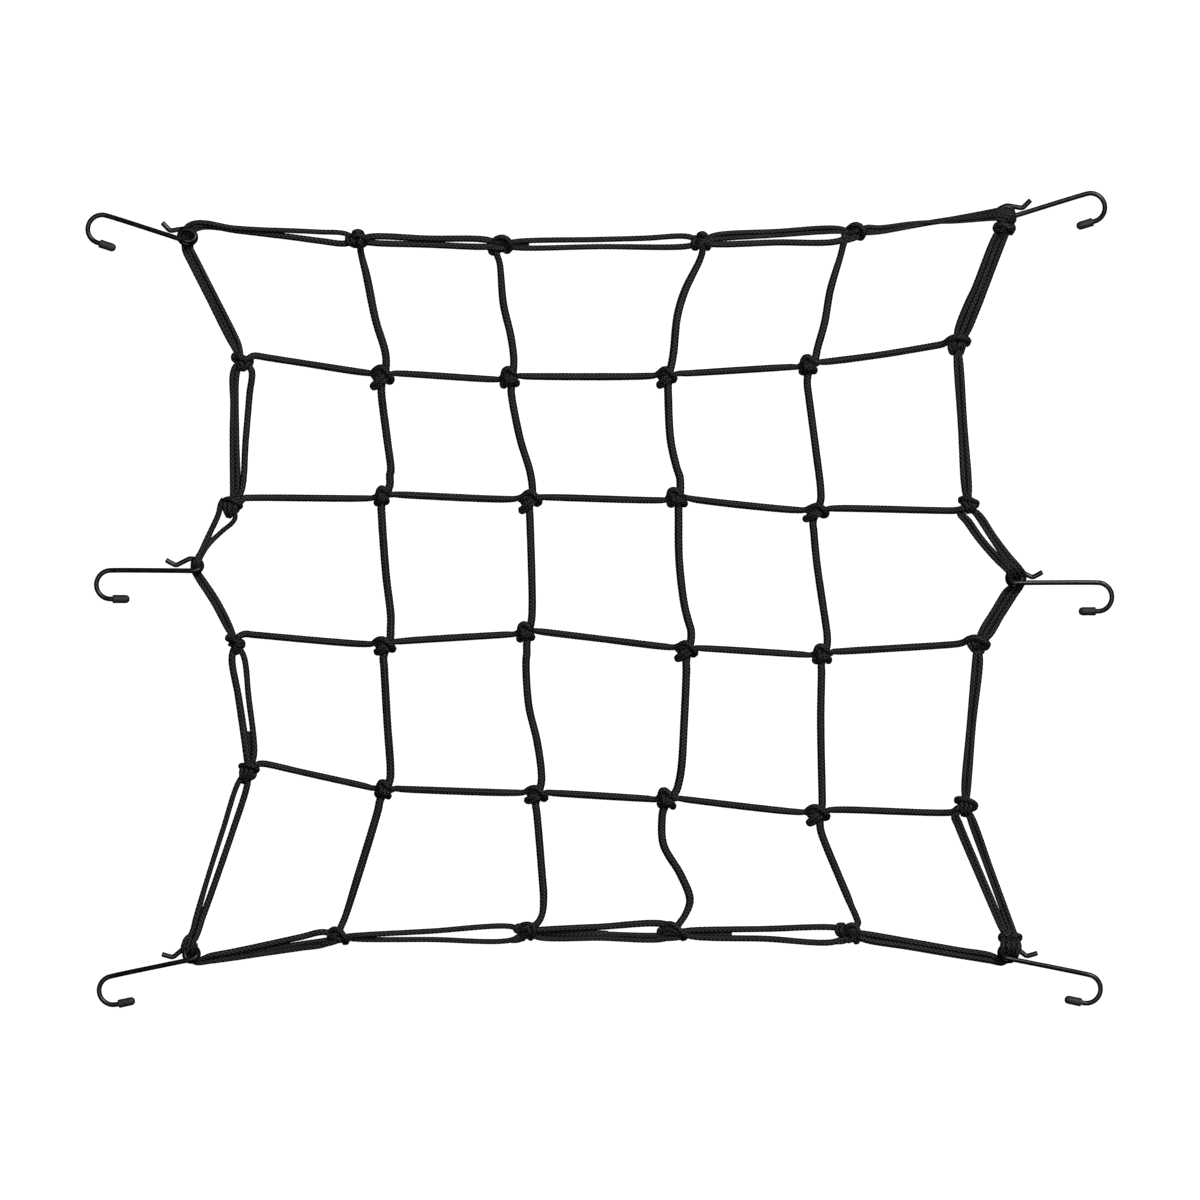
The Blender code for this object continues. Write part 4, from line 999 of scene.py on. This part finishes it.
def wire_material():
    """Steel wire under a smooth black coating with faint marks of handling."""
    n = Nodes("black_coated_wire_look")
    marks = n.noise(*HANDLING_NOISE)
    n.join(n.ramp(marks, WIRE_RAMP), n.shader.inputs["Base Color"])
    n.join(n.ramp(marks, WIRE_ROUGHNESS), n.shader.inputs["Roughness"])
    n.bump(n.noise(*COATING_NOISE), *COATING_BUMP)
    n.set(Specular_IOR_Level=WIRE_SPECULAR)
    return n.material


def rubber_material():
    """Matte black rubber with the fine grain of its mould."""
    n = Nodes("black_rubber_look")
    n.join(n.ramp(n.noise(*DUST_NOISE), RUBBER_RAMP), n.shader.inputs["Base Color"])
    n.bump(n.noise(*GRAIN_NOISE), *GRAIN_BUMP)
    n.set(**RUBBER_GLOSS)
    return n.material


def build_cords(material):
    """The net's pieces: columns, rows, the turns of their knots, border knots and border strands."""
    downs = [mesh_cord(*column, False)[0] for column in COLUMNS]
    acrosses = [mesh_cord(*row, True) for row in ROWS]
    turns = [turn for _, more in acrosses for turn in more]
    wraps = [route for name in BORDER_KNOTS for route in border_knot(name)]
    groups = {"cords_down": downs, "cords_across": [main for main, _ in acrosses], "mesh_knots": turns,
              "border_knots": wraps}
    for name, routes in groups.items():
        tubes = [cord(route, RELAXED_PICK) for route in routes]
        piece(name, tubes, material, ("net",))
    for name, strands in BORDER.items():
        tubes = [cord(border_route(radius, rows), STRETCHED_PICK) for radius, rows in strands]
        piece(name, tubes, material, ("net",))


def build_hooks(wire_look, rubber_look):
    for hook in HOOKS:
        piece("wire_" + hook, [wire(hook)], wire_look, ("hook_" + hook,))
        piece("cap_" + hook, [cap(hook)], rubber_look, ("tip_" + hook,))


def build_floor():
    """The pale ground. It is seen by the camera alone, so it throws no light on the net."""
    mesh = bpy.data.meshes.new("floor")
    corners = [(x * FLOOR_HALF, y * FLOOR_HALF, 0) for x, y in ((-1, -1), (1, -1), (1, 1), (-1, 1))]
    mesh.from_pydata(corners, [], [(0, 1, 2, 3)])
    n = Nodes("pale_floor")
    n.set(Base_Color=(FLOOR_COLOUR, FLOOR_COLOUR, FLOOR_COLOUR, 1.0), Roughness=FLOOR_ROUGHNESS,
          Specular_IOR_Level=FLOOR_SPECULAR, Emission_Color=WHITE, Emission_Strength=FLOOR_GLOW)
    mesh.materials.append(n.material)
    floor = bpy.data.objects.new("floor", mesh)
    bpy.context.scene.collection.objects.link(floor)
    floor.visible_diffuse = False
    floor.visible_glossy = False


def build_light(name, place, size, power):
    """A square soft lamp that faces the net's middle."""
    light = bpy.data.lights.new(name, "AREA")
    light.shape = "SQUARE"
    light.size = size
    light.energy = power
    lamp = bpy.data.objects.new(name, light)
    bpy.context.scene.collection.objects.link(lamp)
    lamp.location = place
    lamp.rotation_euler = (-Vector(place)).to_track_quat("-Z", "Y").to_euler()


def build_world():
    """A white surround that only the camera sees."""
    world = bpy.data.worlds.new("studio")
    world.use_nodes = True
    background = world.node_tree.nodes["Background"]
    background.inputs["Color"].default_value = WHITE
    background.inputs["Strength"].default_value = WORLD_STRENGTH
    world.cycles_visibility.diffuse = False
    world.cycles_visibility.glossy = False
    bpy.context.scene.world = world
    bpy.context.scene.view_settings.view_transform = "Standard"


def build_camera():
    camera = bpy.data.cameras.new("camera")
    camera.lens = LENS
    camera.sensor_width = SENSOR
    camera.clip_end = FAR_CLIP
    eye = bpy.data.objects.new("camera", camera)
    bpy.context.scene.collection.objects.link(eye)
    distance = HALF_VIEW / (SENSOR / 2 / LENS)
    eye.location = (-OUTLINE_CENTRE[0] * MM, -OUTLINE_CENTRE[1] * MM, FOCUS_HEIGHT + distance)
    bpy.context.scene.camera = eye


build_cords(cord_material())
build_hooks(wire_material(), rubber_material())
build_floor()
build_camera()
build_world()
for name, place, size, power in LIGHTS:
    build_light(name, place, size, power)
